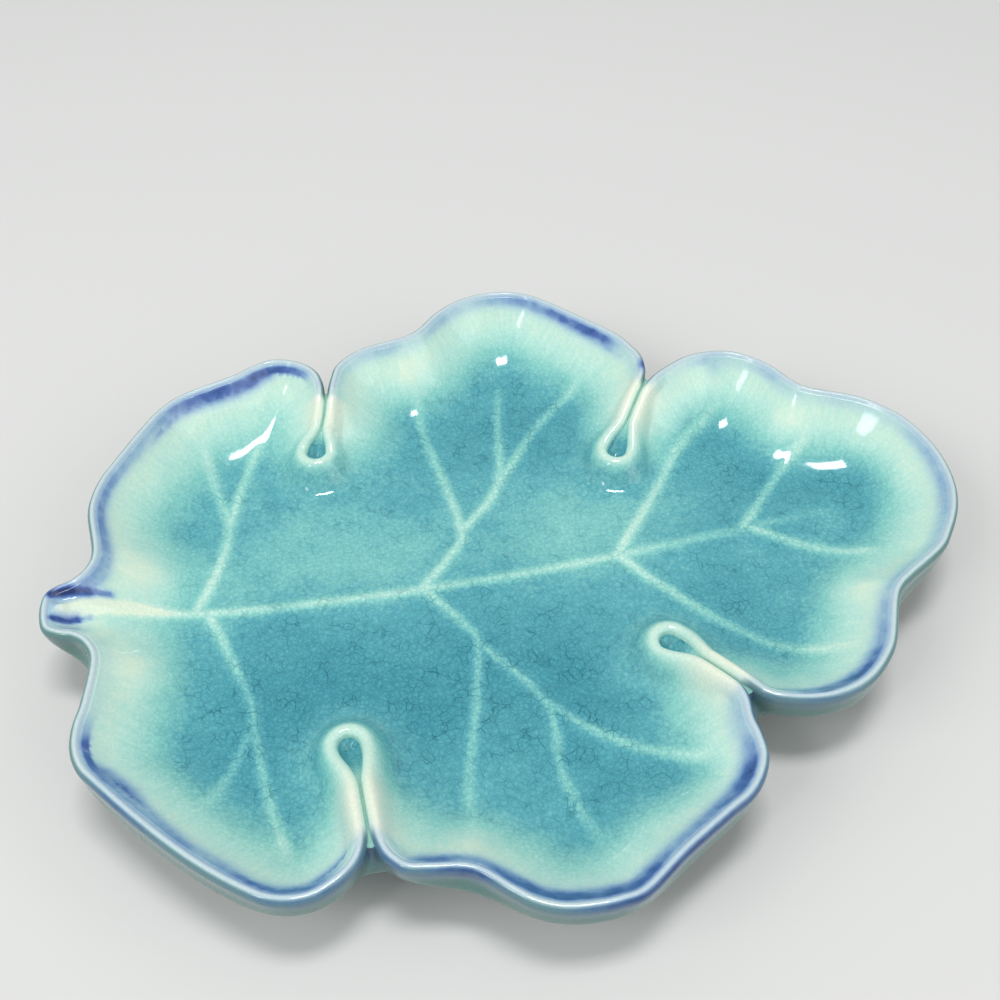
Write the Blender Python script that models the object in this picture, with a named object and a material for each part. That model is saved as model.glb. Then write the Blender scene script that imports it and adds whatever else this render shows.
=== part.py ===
"""Ceramic leaf dish: a pressed clay leaf on a bare foot, under four coats of glaze.

The whole dish is described by one glazed skin. Its top is a height over the leaf's plan, its
edge a rolled lip, and its underside a shallow bowl. The clay lies under the skin by the glaze's
thickness, and each coat of glaze is a thin shell between the skin and the clay.

Metres, +Z up, table at z = 0, midrib along +X from the stem to the tip.
"""
import math

import bpy
import numpy as np
from mathutils import Vector
from mathutils.geometry import delaunay_2d_cdt

# Driving dimensions of the leaf
leaf_length = 0.160
rim_height = 0.0182
floor_height = 0.0073
wall_width = 0.0150

# Rolled lip and the crease inside it
lip_radius = 0.0014
crease_inset = 0.0028
crease_depth = 0.0011

# Outer wall, from the crest of the lip down to where it turns under
edge_depth = 0.0066
edge_tuck = 0.0033
under_wall_width = 0.0165
underside_height = 0.0026

# Folded gaps between the lobes, each with a pit at its inner end
fold_end_height = 0.0122
ridge_width = 0.0040
groove_half_width = 0.00035
pit_radius = 0.0015
pit_depth = 0.0020
notch_drip = 0.0010
notch_rise = 0.0004
notch_run = 0.0018

# Veins, the swell that carries them and the pleats in the wall
vein_rise = 0.00055
vein_half_width = 0.00085
midrib_swell = 0.0007
midrib_swell_reach = 0.0140
vein_swell = 0.00045
vein_swell_reach = 0.0050
stem_ridge_rise = 0.0022
stem_ridge_half_width = 0.0011
stem_ridge_length = 0.0150
pleat_rise = 0.0009
pleat_half_width = 0.0036

# Foot
foot_length = 0.086
foot_width = 0.056
foot_band = 0.0040

# Glaze, and the clearance between neighbours
glaze_thickness = 0.00045
glaze_pool = 0.00050
pool_height = 0.0030
clearance = 0.0003
slope_step = 0.0001
smallest_gap = 0.00000001
offset_tolerance = 0.00003
blend_size = 0.0010

# Spacing of the facets, which draw closer where a line turns
edge_spacing = 0.0068
inner_spacing = 0.0085
grid_spacing = 0.0085
vein_spacing = 0.0070
turn_step = math.radians(30)

# The leaf is 158 parts long, and every point below is in those parts:
# along the midrib from the stem, and across it
leaf_parts_share = 158.0

bottom_lobe_shares = (
    (47.5, -50.3), (48.6, -52.3), (51.3, -55.1), (54.9, -56.2), (60.6, -57.0), (64.7, -61.3),
    (67.8, -63.8), (71.6, -65.5), (75.8, -66.1), (80.0, -65.8), (84.2, -64.6), (91.3, -60.5),
    (99.2, -56.8), (103.0, -54.6), (105.6, -51.6), (107.1, -47.8), (107.4, -44.2),
    (107.2, -40.6), (108.2, -36.6))
tip_lobe_shares = (
    (108.2, -36.6), (109.3, -38.0), (112.0, -39.4), (116.0, -40.5), (120.2, -40.8),
    (124.5, -40.0), (128.2, -38.2), (131.4, -35.5), (134.0, -32.2), (137.3, -25.5),
    (139.1, -23.0), (142.0, -21.0), (148.9, -16.9), (152.2, -13.4), (155.2, -9.1),
    (157.2, -4.4), (158.0, 0.5), (157.9, 5.4), (156.8, 10.2), (155.0, 14.5), (151.9, 18.3),
    (148.3, 21.3), (140.7, 25.1), (138.3, 27.8), (136.3, 31.5), (133.4, 34.9), (129.6, 37.5),
    (125.2, 38.4), (121.0, 38.1), (117.5, 36.8), (111.7, 33.7))
top_lobe_shares = (
    (111.7, 33.7), (112.2, 39.2), (111.0, 43.1), (108.8, 47.2), (101.7, 55.1), (97.8, 59.2),
    (94.1, 62.2), (89.6, 63.9), (84.0, 64.1), (78.9, 62.7), (74.4, 59.8), (71.0, 56.4),
    (67.6, 54.4), (59.8, 52.8), (56.0, 50.9), (53.3, 48.4), (52.0, 45.2), (50.9, 41.8))
stem_lobe_shares = (
    (50.9, 41.8), (50.7, 44.3), (50.0, 47.3), (48.2, 49.9), (45.2, 51.9), (41.3, 52.8),
    (37.6, 51.7), (34.0, 49.9), (24.3, 46.5), (19.8, 43.2), (16.5, 39.0), (11.4, 31.2),
    (9.3, 27.7), (7.8, 23.6), (7.3, 19.2), (8.1, 11.2), (7.1, 7.8), (4.9, 5.8), (2.4, 4.9),
    (0.6, 3.3), (0.0, -0.2), (0.6, -3.7), (2.8, -5.4), (5.4, -6.4), (7.2, -8.2), (8.1, -11.4),
    (6.9, -18.6), (5.8, -22.4), (5.3, -26.3), (6.1, -30.2), (8.2, -33.7), (14.7, -41.1),
    (22.7, -47.9), (29.7, -53.9), (33.8, -56.3), (38.3, -57.0), (42.2, -55.7), (45.3, -53.3),
    (47.5, -50.3))

# Each fold runs from the notch that ends its lobe to the middle of its pit
bottom_right_fold_shares = ((108.2, -36.6), (104.5, -29.0), (102.4, -25.0), (100.2, -21.6))
top_right_fold_shares = ((111.7, 33.7), (109.2, 31.0), (104.8, 24.8), (102.7, 21.7))
top_left_fold_shares = ((50.9, 41.8), (50.0, 38.2), (48.7, 35.2), (47.4, 32.4))
bottom_left_fold_shares = ((47.5, -50.3), (47.3, -45.0), (46.9, -35.6), (46.1, -30.4))

midrib_shares = (
    (2.8, 0.6), (8.0, 1.6), (14.0, 2.2), (20.0, 1.9), (26.0, 1.2), (33.0, 0.4), (45.0, -0.3),
    (60.0, -0.9), (80.0, -1.0), (96.0, -0.4), (110.0, 0.5), (122.0, 1.3), (142.0, 2.8))
vein_shares = (
    ((23.5, 1.6), (27.2, 9.5), (30.0, 20.0), (28.0, 31.0), (26.8, 40.0)),
    ((30.0, 20.0), (33.2, 30.5), (37.5, 40.0)),
    ((62.0, -0.9), (68.2, 5.7), (71.2, 10.8), (70.0, 24.0), (68.2, 37.0), (68.5, 46.0)),
    ((71.2, 10.8), (79.8, 20.8), (82.8, 36.0), (85.5, 48.5)),
    ((79.8, 20.8), (91.0, 35.0), (101.5, 43.5)),
    ((97.0, -0.4), (107.5, 12.5), (115.5, 22.5), (126.5, 31.0)),
    ((121.0, 1.2), (132.0, 12.7), (139.5, 18.0)),
    ((25.5, 1.3), (29.0, -9.0), (31.6, -19.5), (28.3, -28.0), (22.8, -36.5)),
    ((31.6, -19.5), (32.8, -34.0), (35.7, -47.5)),
    ((62.5, -1.0), (68.0, -9.5), (69.5, -13.2), (67.2, -24.5), (63.5, -38.0), (62.5, -48.0)),
    ((69.5, -13.2), (78.2, -26.8), (78.0, -40.0), (81.2, -53.0)),
    ((78.2, -26.8), (86.0, -34.2), (101.0, -44.0)),
    ((97.5, -0.5), (103.3, -8.3), (116.0, -21.8), (130.0, -29.5)),
    ((122.5, 1.2), (131.3, -4.8), (143.0, -9.6)))
pleat_shares = (
    ((67.6, 54.4), (68.4, 42.0)), ((60.6, -57.0), (62.4, -44.0)),
    ((140.7, 25.1), (128.0, 13.0)), ((139.1, -23.0), (128.0, -13.0)),
    ((8.1, 11.2), (21.0, 9.5)), ((8.1, -11.4), (21.0, -10.5)))

# The outer wall as shares of the edge's tuck and depth. The lip's glaze ends at the last
# under-lip point and the back's glaze starts one clearance lower. Farther down, the wall is
# softened and bridges the notches
lip_shoulder_share = 0.33
lip_underside_shares = ((0.06, 0.30), (0.16, 0.36))
outer_wall_shares = ((0.20, 0.70), (0.48, 0.89), (1.0, 1.0))
outer_wall_passes = (1, 2, 4)
notch_mitre = 1.4
notch_lean = 0.4
wall_curve_power = 1.8
fold_fall_power = 1.2
steepest_slope = 1.6
wall_ring_shares = (0.15, 0.38, 0.70)
groove_mouth_share = 0.10
pit_start_share = 0.66
pit_flare_share = 0.30
pit_wall_share = 0.50
vein_end_share = 0.125
pleat_fade_share = 0.25
fold_stations = 8
fold_end_stations = 6

# Where the triangles may start beside the veins, the rings and the crease
vein_clear_share = 1.25
vein_bank_share = 1.6
crest_keep_share = 0.8
ring_room_share = 0.28
grid_room_share = 0.62
nearest_share = 0.125
lobe_fineness = 12
fold_fineness = 160
arc_fineness = 60
shortest_run = 8

# Points measured against a line at one time
batch = 1000

# Section of the foot as shares of its band: out from its middle, and up
foot_section_shares = ((0.333, 0), (0.458, 0.125), (0.5, 0.375))
foot_stations = 44


def plan(shares):
    """Turn points in leaf parts into metres."""
    return np.array(shares, float) * (leaf_length / leaf_parts_share)


def lengths_along(line):
    """Length from the start of a line to each of its points."""
    steps = np.sqrt((np.diff(line, axis=0) ** 2).sum(axis=1))
    return np.concatenate(([0], np.cumsum(steps)))


def read_evenly(line, values, count):
    """Read values that belong to a line's points at places spread evenly along it."""
    run = lengths_along(line)
    places = np.linspace(0, run[-1], count)
    return np.stack([np.interp(places, run, values[:, axis]) for axis in (0, 1)], axis=1)


def even(line, count):
    """Place a number of points evenly along a line, both ends included."""
    return read_evenly(line, line, count)


def spread(line, spacing):
    """Place points along a line, both ends included, closer together where it turns."""
    steps = np.diff(line, axis=0)
    heading = np.unwrap(np.arctan2(steps[:, 1], steps[:, 0]))
    turned = np.concatenate(([0], np.cumsum(np.abs(np.diff(heading, prepend=heading[0])))))
    measure = lengths_along(line) / spacing + turned / turn_step
    places = np.linspace(0, measure[-1], max(int(round(measure[-1])), 1) + 1)
    return np.stack([np.interp(places, measure, line[:, axis]) for axis in (0, 1)], axis=1)


def curve(points, fineness=12):
    """Draw a smooth curve through points, with its ends left free."""
    ends = (2 * points[0] - points[1], 2 * points[-1] - points[-2])
    knots = np.vstack((ends[:1], points, ends[1:]))
    share = np.linspace(0, 1, fineness, endpoint=False)[:, None]
    pieces = []
    for one, two, three, four in zip(knots, knots[1:], knots[2:], knots[3:]):
        bend = 2 * one - 5 * two + 4 * three - four
        twist = 3 * two - one - 3 * three + four
        pieces.append((2 * two + (three - one) * share + bend * share ** 2 + twist * share ** 3) / 2)
    return np.vstack(pieces + [points[-1:]])


def tangents(line):
    """Unit direction of an open line at each of its points."""
    steps = np.gradient(line, axis=0)
    return steps / np.sqrt((steps ** 2).sum(axis=1))[:, None]


def ring_tangents(ring):
    """Unit direction of a closed ring at each of its points."""
    steps = np.roll(ring, -1, axis=0) - np.roll(ring, 1, axis=0)
    return steps / np.sqrt((steps ** 2).sum(axis=1))[:, None]


def turned_left(directions):
    """Directions turned a quarter turn to the left."""
    return np.stack((-directions[:, 1], directions[:, 0]), axis=1)


def line_reach(points, line):
    """Distance to an open line, the share of its length there, and the nearest place on it."""
    step = np.diff(line, axis=0)
    size = (step ** 2).sum(axis=1)
    run = lengths_along(line)
    reaches, shares, nearest = [], [], []
    for start in range(0, len(points), batch):
        some = points[start:start + batch]
        away = some[:, None, :] - line[None, :-1, :]
        along = np.clip((away * step).sum(axis=2) / size, 0, 1)
        gaps = away - along[:, :, None] * step
        squares = (gaps ** 2).sum(axis=2)
        best = squares.argmin(axis=1)
        rows = np.arange(len(some))
        reaches.append(np.sqrt(squares[rows, best]))
        shares.append((run[best] + along[rows, best] * np.sqrt(size[best])) / run[-1])
        nearest.append(some - gaps[rows, best])
    return np.concatenate(reaches), np.concatenate(shares), np.vstack(nearest)


lobes = [curve(plan(shares)) for shares in (
    bottom_lobe_shares, tip_lobe_shares, top_lobe_shares, stem_lobe_shares)]
folds = [curve(plan(shares)) for shares in (
    bottom_right_fold_shares, top_right_fold_shares, top_left_fold_shares, bottom_left_fold_shares)]
outline = np.vstack([lobe[:-1] for lobe in lobes] + [lobes[0][:1]])
midrib = curve(plan(midrib_shares))
veins = [curve(plan(shares), 4) for shares in vein_shares]
pleats = [plan(shares) for shares in pleat_shares]


def fold_half_width(share):
    """Half the width of a fold's groove, which opens into the pit at its inner end."""
    mouth = np.clip(share / groove_mouth_share, 0, 1)
    pit = eased((share - pit_start_share) / pit_flare_share)
    return groove_half_width * mouth + (pit_radius - groove_half_width) * pit


def fold_reach(points, fold):
    """Distance from the edge of a fold's groove, less than zero inside it, and the share along."""
    distance, share, _ = line_reach(points, fold)
    return distance - fold_half_width(share), share


def edge_reach(points):
    """Distance from the nearest free edge, of the outline or of a fold's groove."""
    reach = line_reach(points, outline)[0]
    for fold in folds:
        reach = np.minimum(reach, fold_reach(points, fold)[0])
    return reach


def fold_crest(share):
    """Height of the ridges beside a fold, which drop from the rim to the pit."""
    return rim_height + (fold_end_height - rim_height) * share ** fold_fall_power


def quarter_round(reach):
    """Height of a rounded edge over its foot, by the distance in from its side."""
    return np.sqrt(np.clip(lip_radius ** 2 - (lip_radius - np.clip(reach, 0, lip_radius)) ** 2, 0, None))


def eased(share):
    """Ease a share from 0 to 1, with a level start and a level end."""
    share = np.clip(share, 0, 1)
    return share ** 2 * (3 - 2 * share)


def swell(distance, half_width):
    """A soft rise that is 1 on a line and fades away from it."""
    return np.exp(-(distance / half_width) ** 2)


def vein_pattern(points):
    """How much of a vein's swell, and of its narrow ridge, each point has."""
    distance, share, _ = line_reach(points, midrib)
    broad = midrib_swell * swell(distance, midrib_swell_reach)
    narrow = vein_rise * swell(distance, vein_half_width) * (1 - share ** 4)
    wide = vein_swell * swell(distance, vein_swell_reach)
    for vein in veins:
        distance, share, _ = line_reach(points, vein)
        wide = np.maximum(wide, vein_swell * swell(distance, vein_swell_reach) * (1 - share))
        ridge = vein_rise * swell(distance, vein_half_width) * (1 - share ** 2 / 2)
        narrow = np.maximum(narrow, ridge * np.clip((1 - share) / vein_end_share, 0, 1))
    return broad + wide, narrow


def rim_profile(edge, floor):
    """Height of the lip's crest, crease and inner wall by the distance from the outline."""
    inner = np.clip((edge - lip_radius) / (crease_inset - lip_radius), 0, 1)
    lip = rim_height - crease_depth * (1 - np.sqrt(1 - inner ** 2))
    down = 1 - np.clip((edge - crease_inset) / wall_width, 0, 1)
    wall = floor + (rim_height - crease_depth - floor) * down ** wall_curve_power
    return np.where(edge < crease_inset, lip, wall)


def blended(first, second, floor):
    """The higher of two heights, eased where they cross between floor and rim."""
    higher = np.maximum(first, second)
    lower = np.minimum(first, second)
    size = blend_size * np.clip((rim_height - higher) / blend_size, 0, 1)
    size = np.minimum(size, np.clip(lower - floor, 0, None)) + smallest_gap
    return higher + np.clip(size - (higher - lower), 0, None) ** 2 / (4 * size)


def pleat_height(points, edge):
    """Rise of the soft pleats that run in from where the outline bends inward."""
    rise = np.zeros(len(points))
    fade = np.clip((edge - crease_inset) / wall_width, 0, 1)
    for pleat in pleats:
        distance, share, _ = line_reach(points, pleat)
        lift = swell(distance, pleat_half_width) * np.sin(math.pi * np.clip(share, 0, 1))
        rise = np.maximum(rise, pleat_rise * lift)
    return rise * np.clip(fade / pleat_fade_share, 0, 1)


def skin_height(points):
    """Height of the glazed face over a point of the plan."""
    edge = line_reach(points, outline)[0]
    broad, narrow = vein_pattern(points)
    floor = floor_height + broad
    height = rim_profile(edge, floor) + pleat_height(points, edge)
    rib, share, _ = line_reach(points, midrib)
    stem = stem_ridge_rise * swell(rib, stem_ridge_half_width)
    stem = stem * np.clip(1 - (points[:, 0] - midrib[0, 0]) / stem_ridge_length, 0, 1)
    inside = np.clip((edge - crease_inset) / crease_inset, 0, 1)
    height = height + narrow * inside + stem * np.clip((edge - lip_radius) / crease_inset, 0, 1)
    for fold in folds:
        reach, share = fold_reach(points, fold)
        crest = fold_crest(share)
        fall = np.clip((reach - lip_radius) / ridge_width, 0, 1)
        ridge = floor + (crest - floor) * (1 + np.cos(math.pi * fall)) / 2
        height = np.where(fall < 1, blended(height, ridge, floor), height)
        flank = crest - lip_radius + quarter_round(reach)
        depth = np.clip(-reach / groove_half_width, 0, 1) * groove_half_width
        pit = eased(-reach / (pit_radius * pit_wall_share))
        bottom = crest - lip_radius - depth - pit_depth * pit
        height = np.where(reach < lip_radius, np.where(reach < 0, bottom, flank), height)
    return np.minimum(height, rim_height - lip_radius + quarter_round(edge))


def skin_slope(points):
    """Steepness of the glazed face, as rise over run."""
    along = Vector((slope_step, 0))
    across = Vector((0, slope_step))
    rise = [skin_height(points + step) - skin_height(points - step) for step in (along, across)]
    return np.clip(np.hypot(*rise) / (2 * slope_step), 0, steepest_slope)


def glaze_depth(points, height):
    """Thickness of the glaze, which pools where the face lies low and thins over the veins."""
    low = np.clip((floor_height + pool_height - height) / pool_height, 0, 1)
    thin = vein_pattern(points)[1] / vein_rise
    return glaze_thickness + glaze_pool * low * (1 - thin)


def inset_line(inset):
    """The free edge moved in by an inset, in order, before crossed stretches are taken out."""
    pieces = []
    for lobe, fold in zip(lobes, folds):
        count = lobe_fineness * len(lobe)
        side = read_evenly(lobe, turned_left(tangents(lobe)), count)
        pieces.append(even(lobe, count) + side * inset)
        path = even(fold, fold_fineness)
        side = turned_left(tangents(path))
        reach = (fold_half_width(np.linspace(0, 1, len(path))) + inset)[:, None]
        turn = np.linspace(0, math.pi, arc_fineness)[:, None]
        ahead = tangents(path)[-1]
        arc = path[-1] + (pit_radius + inset) * (side[-1] * np.cos(turn) + ahead * np.sin(turn))
        pieces += [path + side * reach, arc[1:-1], (path - side * reach)[::-1]]
    return np.vstack(pieces)


def inset_ring(inset, spacing):
    """A closed ring at one distance from the free edge, with its corners kept."""
    line = inset_line(inset)
    keep = np.flatnonzero(edge_reach(line) > inset - offset_tolerance)
    breaks = np.flatnonzero(np.diff(keep) > 1) + 1
    runs = [run for run in np.split(line[keep], breaks) if len(run) > shortest_run]
    ring = np.vstack([spread(run, spacing) for run in runs])
    far = np.sqrt(((ring - np.roll(ring, 1, axis=0)) ** 2).sum(axis=1)) > spacing * nearest_share
    return ring[far]


def edge_stations():
    """Points of the outline that the lip and the outer wall are built on, and their inward side."""
    stations, inward, notches = [], [], []
    for lobe in lobes:
        along = lengths_along(lobe)
        middle = lobe[(along > notch_run) & (along < along[-1] - notch_run)]
        run = np.vstack((lobe[:1], spread(middle, edge_spacing), lobe[-1:]))
        notches.append(len(stations))
        stations += list(run[:-1])
        inward += list(turned_left(tangents(run))[:-1])
    inward = np.array(inward)
    for notch, fold in zip(notches, folds[-1:] + folds[:-1]):
        inward[notch] = tangents(fold)[0]
    return np.array(stations), inward, notches


def softened(ring, passes):
    """Round off a closed ring by averaging each point with its neighbours."""
    for _ in range(round(passes)):
        ring = ring / 2 + (np.roll(ring, 1, axis=0) + np.roll(ring, -1, axis=0)) / 4
    return ring


def inside_ring(points, ring):
    """Which points lie inside a closed ring."""
    ahead = np.roll(ring, -1, axis=0)
    x, y = points[:, 0:1], points[:, 1:2]
    spans = (ring[:, 1] > y) != (ahead[:, 1] > y)
    rise = np.where(ahead[:, 1] == ring[:, 1], 1, ahead[:, 1] - ring[:, 1])
    cross = ring[:, 0] + (y - ring[:, 1]) * (ahead[:, 0] - ring[:, 0]) / rise
    return (spans & (x < cross)).sum(axis=1) % 2 == 1


def grid_points(ring, spacing):
    """A staggered grid over the inside of a ring."""
    low, high = ring.min(axis=0), ring.max(axis=0)
    row_height = spacing * math.sqrt(3) / 2
    rows = int((high[1] - low[1]) / row_height) + 1
    columns = int((high[0] - low[0]) / spacing) + 2
    places = [(low[0] + (column + row % 2 / 2) * spacing, low[1] + row * row_height)
              for row in range(rows) for column in range(columns)]
    places = np.array(places)
    return places[inside_ring(places, ring)]


def clear_of(points, others, room):
    """The points that lie at least some room away from all others."""
    gaps = ((points[:, None, :] - others[None, :, :]) ** 2).sum(axis=2).min(axis=1)
    return points[gaps > room ** 2]


class Plan:
    """Points and lines of a plan, joined into triangles at the end."""

    def __init__(self):
        self.points = []
        self.edges = []

    def add(self, points):
        """Add loose points and return their numbers."""
        first = len(self.points)
        self.points += [tuple(point) for point in points]
        return list(range(first, len(self.points)))

    def add_chain(self, numbers, closed):
        """Keep the lines between points that follow each other."""
        self.edges += list(zip(numbers, numbers[1:]))
        if closed:
            self.edges.append((numbers[-1], numbers[0]))

    def triangles(self, boundary):
        """Triangulate inside a boundary, and say which result point each input point became."""
        inputs = [Vector(point) for point in self.points]
        result = delaunay_2d_cdt(inputs, self.edges, [], 0, smallest_gap)
        places = np.array([tuple(place) for place in result[0]])
        faces = np.array([face for face in result[2] if len(face) == 3])
        middles = places[faces].mean(axis=1)
        faces = faces[inside_ring(middles, boundary)]
        became = {}
        for number, sources in enumerate(result[3]):
            for source in sources:
                became[source] = number
        a, b, c = (places[faces[:, corner]] for corner in range(3))
        turn = (b - a)[:, 0] * (c - a)[:, 1] - (b - a)[:, 1] * (c - a)[:, 0]
        faces = np.where(turn[:, None] < 0, faces[:, ::-1], faces)
        return places, faces, became


def fold_outline(fold):
    """Points round a fold's groove and pit, from the notch and back, without the notch."""
    path = even(fold, fold_stations + 1)[1:]
    share = np.linspace(0, 1, fold_stations + 1)[1:]
    side = turned_left(tangents(path))
    reach = fold_half_width(share)[:, None]
    turn = np.linspace(0, math.pi, fold_end_stations)[1:-1, None]
    arc = path[-1] + pit_radius * (side[-1] * np.cos(turn) + tangents(path)[-1] * np.sin(turn))
    return np.vstack((path + side * reach, arc, (path - side * reach)[::-1]))


def face_plan(stations, notches):
    """Triangles of the dish's face, with the rings that part the lip's glaze from the face's."""
    layout = Plan()
    rim = layout.add(stations)
    layout.add_chain(rim, True)
    for notch, fold in zip(notches, folds[-1:] + folds[:-1]):
        chain = layout.add(fold_outline(fold))
        layout.add_chain([notch] + chain, True)
        layout.add(fold[-1:])
    lip_end = inset_ring(crease_inset - clearance / 2, edge_spacing)
    side = turned_left(ring_tangents(lip_end))
    face_end = lip_end + side * clearance
    for ring in (lip_end, face_end):
        layout.add_chain(layout.add(ring), True)
    crest = lip_end - side * (crease_inset - clearance / 2 - lip_radius)
    layout.add(crest[edge_reach(crest) > lip_radius * crest_keep_share])
    for line in [midrib] + veins:
        spine = spread(line, vein_spacing)
        spine = spine[edge_reach(spine) > crease_inset * vein_clear_share]
        layout.add_chain(layout.add(spine), False)
        beside = turned_left(tangents(spine)) * vein_half_width * vein_bank_share
        for bank in (spine + beside, spine - beside):
            bank = clear_of(bank, np.array(layout.points), vein_half_width)
            layout.add(bank[edge_reach(bank) > crease_inset * vein_clear_share])
    for share in wall_ring_shares:
        ring = inset_ring(crease_inset + wall_width * share, inner_spacing)
        layout.add(clear_of(ring, np.array(layout.points), inner_spacing * ring_room_share))
    grid = grid_points(face_end, grid_spacing)
    layout.add(clear_of(grid, np.array(layout.points), grid_spacing * grid_room_share))
    places, faces, became = layout.triangles(stations)
    middles = places[faces].mean(axis=1)
    zone = np.where(inside_ring(middles, lip_end), 'crease', 'rim')
    zone = np.where(inside_ring(middles, face_end), 'face', zone)
    return places, faces, zone, [became[number] for number in rim]


def foot_oval(offset, count):
    """Oval line of the foot, moved out by an offset."""
    turn = np.linspace(0, 2 * math.pi, count, endpoint=False)
    middle = np.array(((outline[:, 0].min() + outline[:, 0].max()) / 2, midrib[:, 1].min()))
    along = foot_length / 2 - foot_band / 2 + offset
    across = foot_width / 2 - foot_band / 2 + offset
    return middle + np.stack((along * np.cos(turn), across * np.sin(turn)), axis=1)


def underside_plan(ring):
    """Triangles of the underside inside the wall's last ring, parted by the foot."""
    layout = Plan()
    border = layout.add(ring)
    layout.add_chain(border, True)
    outer = foot_oval(foot_band / 2 + clearance, foot_stations)
    inner = foot_oval(-foot_band / 2 - clearance, foot_stations)
    for oval in (outer, inner):
        layout.add_chain(layout.add(oval), True)
    grid = grid_points(ring, grid_spacing)
    layout.add(clear_of(grid, np.array(layout.points), grid_spacing * grid_room_share))
    places, faces, became = layout.triangles(ring)
    middles = places[faces].mean(axis=1)
    zone = np.where(inside_ring(middles, outer), 'foot', 'back')
    zone = np.where(inside_ring(middles, inner), 'base', zone)
    return places, faces, zone, [became[number] for number in border]


def underside_height_at(points, ring):
    """Height of the glazed underside by the distance in from the wall's last ring."""
    closed = np.vstack((ring, ring[:1]))
    down = 1 - np.clip(line_reach(points, closed)[0] / under_wall_width, 0, 1)
    return underside_height + (rim_height - edge_depth - underside_height) * down ** 2


def sunk_face(places, rim_numbers, steer, height, slope, depth):
    """The face moved in by a depth: sideways on the lip's outer round, downwards elsewhere."""
    edge, _, nearest = line_reach(places, outline)
    lean = np.clip((lip_radius - edge) / lip_radius, 0, 1)
    toward = (places - nearest) / np.maximum(edge, smallest_gap)[:, None]
    toward[rim_numbers] = steer
    moved = places + toward * (lean * depth)[:, None]
    drop = np.where(edge < lip_radius, np.sqrt(1 - lean ** 2), np.sqrt(1 + slope ** 2))
    return np.column_stack((moved, height - depth * drop))


def wall_rings(stations, inward, notches):
    """Rings of the outer wall under the lip, and the way in to the clay at each of their points."""
    profile = [(0, lip_radius)]
    profile += [(edge_tuck * tuck, edge_depth * drop) for tuck, drop in lip_underside_shares]
    profile.append((profile[-1][0], profile[-1][1] + clearance))
    sharp = len(profile)
    profile += [(edge_tuck * tuck, edge_depth * drop) for tuck, drop in outer_wall_shares]
    profile = np.array(profile)
    slopes = np.gradient(profile, axis=0)
    slopes = slopes / np.hypot(slopes[:, 0], slopes[:, 1])[:, None]
    rings = []
    for step, ((tuck, drop), (run, fall)) in enumerate(zip(profile, slopes)):
        soft = ((0,) * sharp + outer_wall_passes)[step]
        ring = softened(stations + inward * tuck, soft)
        side = turned_left(ring_tangents(ring)) if soft else inward
        level = np.full(len(ring), rim_height - drop)
        way = np.column_stack((side * fall, np.full(len(ring), run)))
        if step < sharp:
            level[notches] -= notch_drip * np.sign(step)
            way[notches] = [(*toward, -notch_lean * (step == 0)) for toward in inward[notches] * notch_mitre]
        rings.append((np.column_stack((ring, level)), way))
    return rings


def skin():
    """The whole closed skin: its points at the surface, under the glaze and at the clay."""
    stations, inward, notches = edge_stations()
    shoulder = stations + inward * lip_radius * lip_shoulder_share
    places, faces, zone, rim_numbers = face_plan(shoulder, notches)
    height = skin_height(places)
    height[np.array(rim_numbers)[notches]] = rim_height - lip_radius + notch_rise
    slope = skin_slope(places)
    glaze = glaze_depth(places, height)
    depths = (glaze * 0, glaze, glaze + clearance)
    steer = inward.copy()
    steer[notches] *= notch_lean
    levels = [[sunk_face(places, rim_numbers, steer, height, slope, depth)] for depth in depths]
    all_faces, all_zones = list(faces), list(zone)
    upper, count = rim_numbers, len(places)
    rings = wall_rings(stations, inward, notches)
    zones = ['rim'] * (len(lip_underside_shares) + 1) + ['under_lip']
    zones += ['back'] * len(outer_wall_shares)
    for (ring, way), name in zip(rings, zones):
        for store, depth in zip(levels, (0, glaze_thickness, glaze_thickness + clearance)):
            store.append(ring + way * depth)
        lower = list(range(count, count + len(ring)))
        count += len(ring)
        for step in range(len(ring)):
            ahead = (step + 1) % len(ring)
            all_faces.append((upper[ahead], upper[step], lower[step]))
            all_faces.append((upper[ahead], lower[step], lower[ahead]))
            all_zones += [name] * 2
        upper = lower
    add_underside(levels, all_faces, all_zones, rings[-1][0][:, :2], upper, count)
    return [np.vstack(store) for store in levels], np.array(all_faces), np.array(all_zones)


def add_underside(levels, all_faces, all_zones, ring, border, count):
    """Close the skin with the underside, sharing the wall's last ring of points."""
    places, faces, zone, border_numbers = underside_plan(ring)
    height = underside_height_at(places, ring)
    reach = np.clip((height - underside_height) / (rim_height - edge_depth - underside_height), 0, 1)
    slope = 2 * (rim_height - edge_depth - underside_height) / under_wall_width * np.sqrt(reach)
    inner = np.setdiff1d(np.arange(len(places)), border_numbers)
    number = np.zeros(len(places), int)
    number[border_numbers] = border
    number[inner] = count + np.arange(len(inner))
    for store, depth in zip(levels, (0, glaze_thickness, glaze_thickness + clearance)):
        lifted = height + depth * np.sqrt(1 + slope ** 2)
        store.append(np.column_stack((places, lifted))[inner])
    all_faces += [tuple(number[face[::-1]]) for face in faces]
    all_zones += list(zone)


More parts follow.
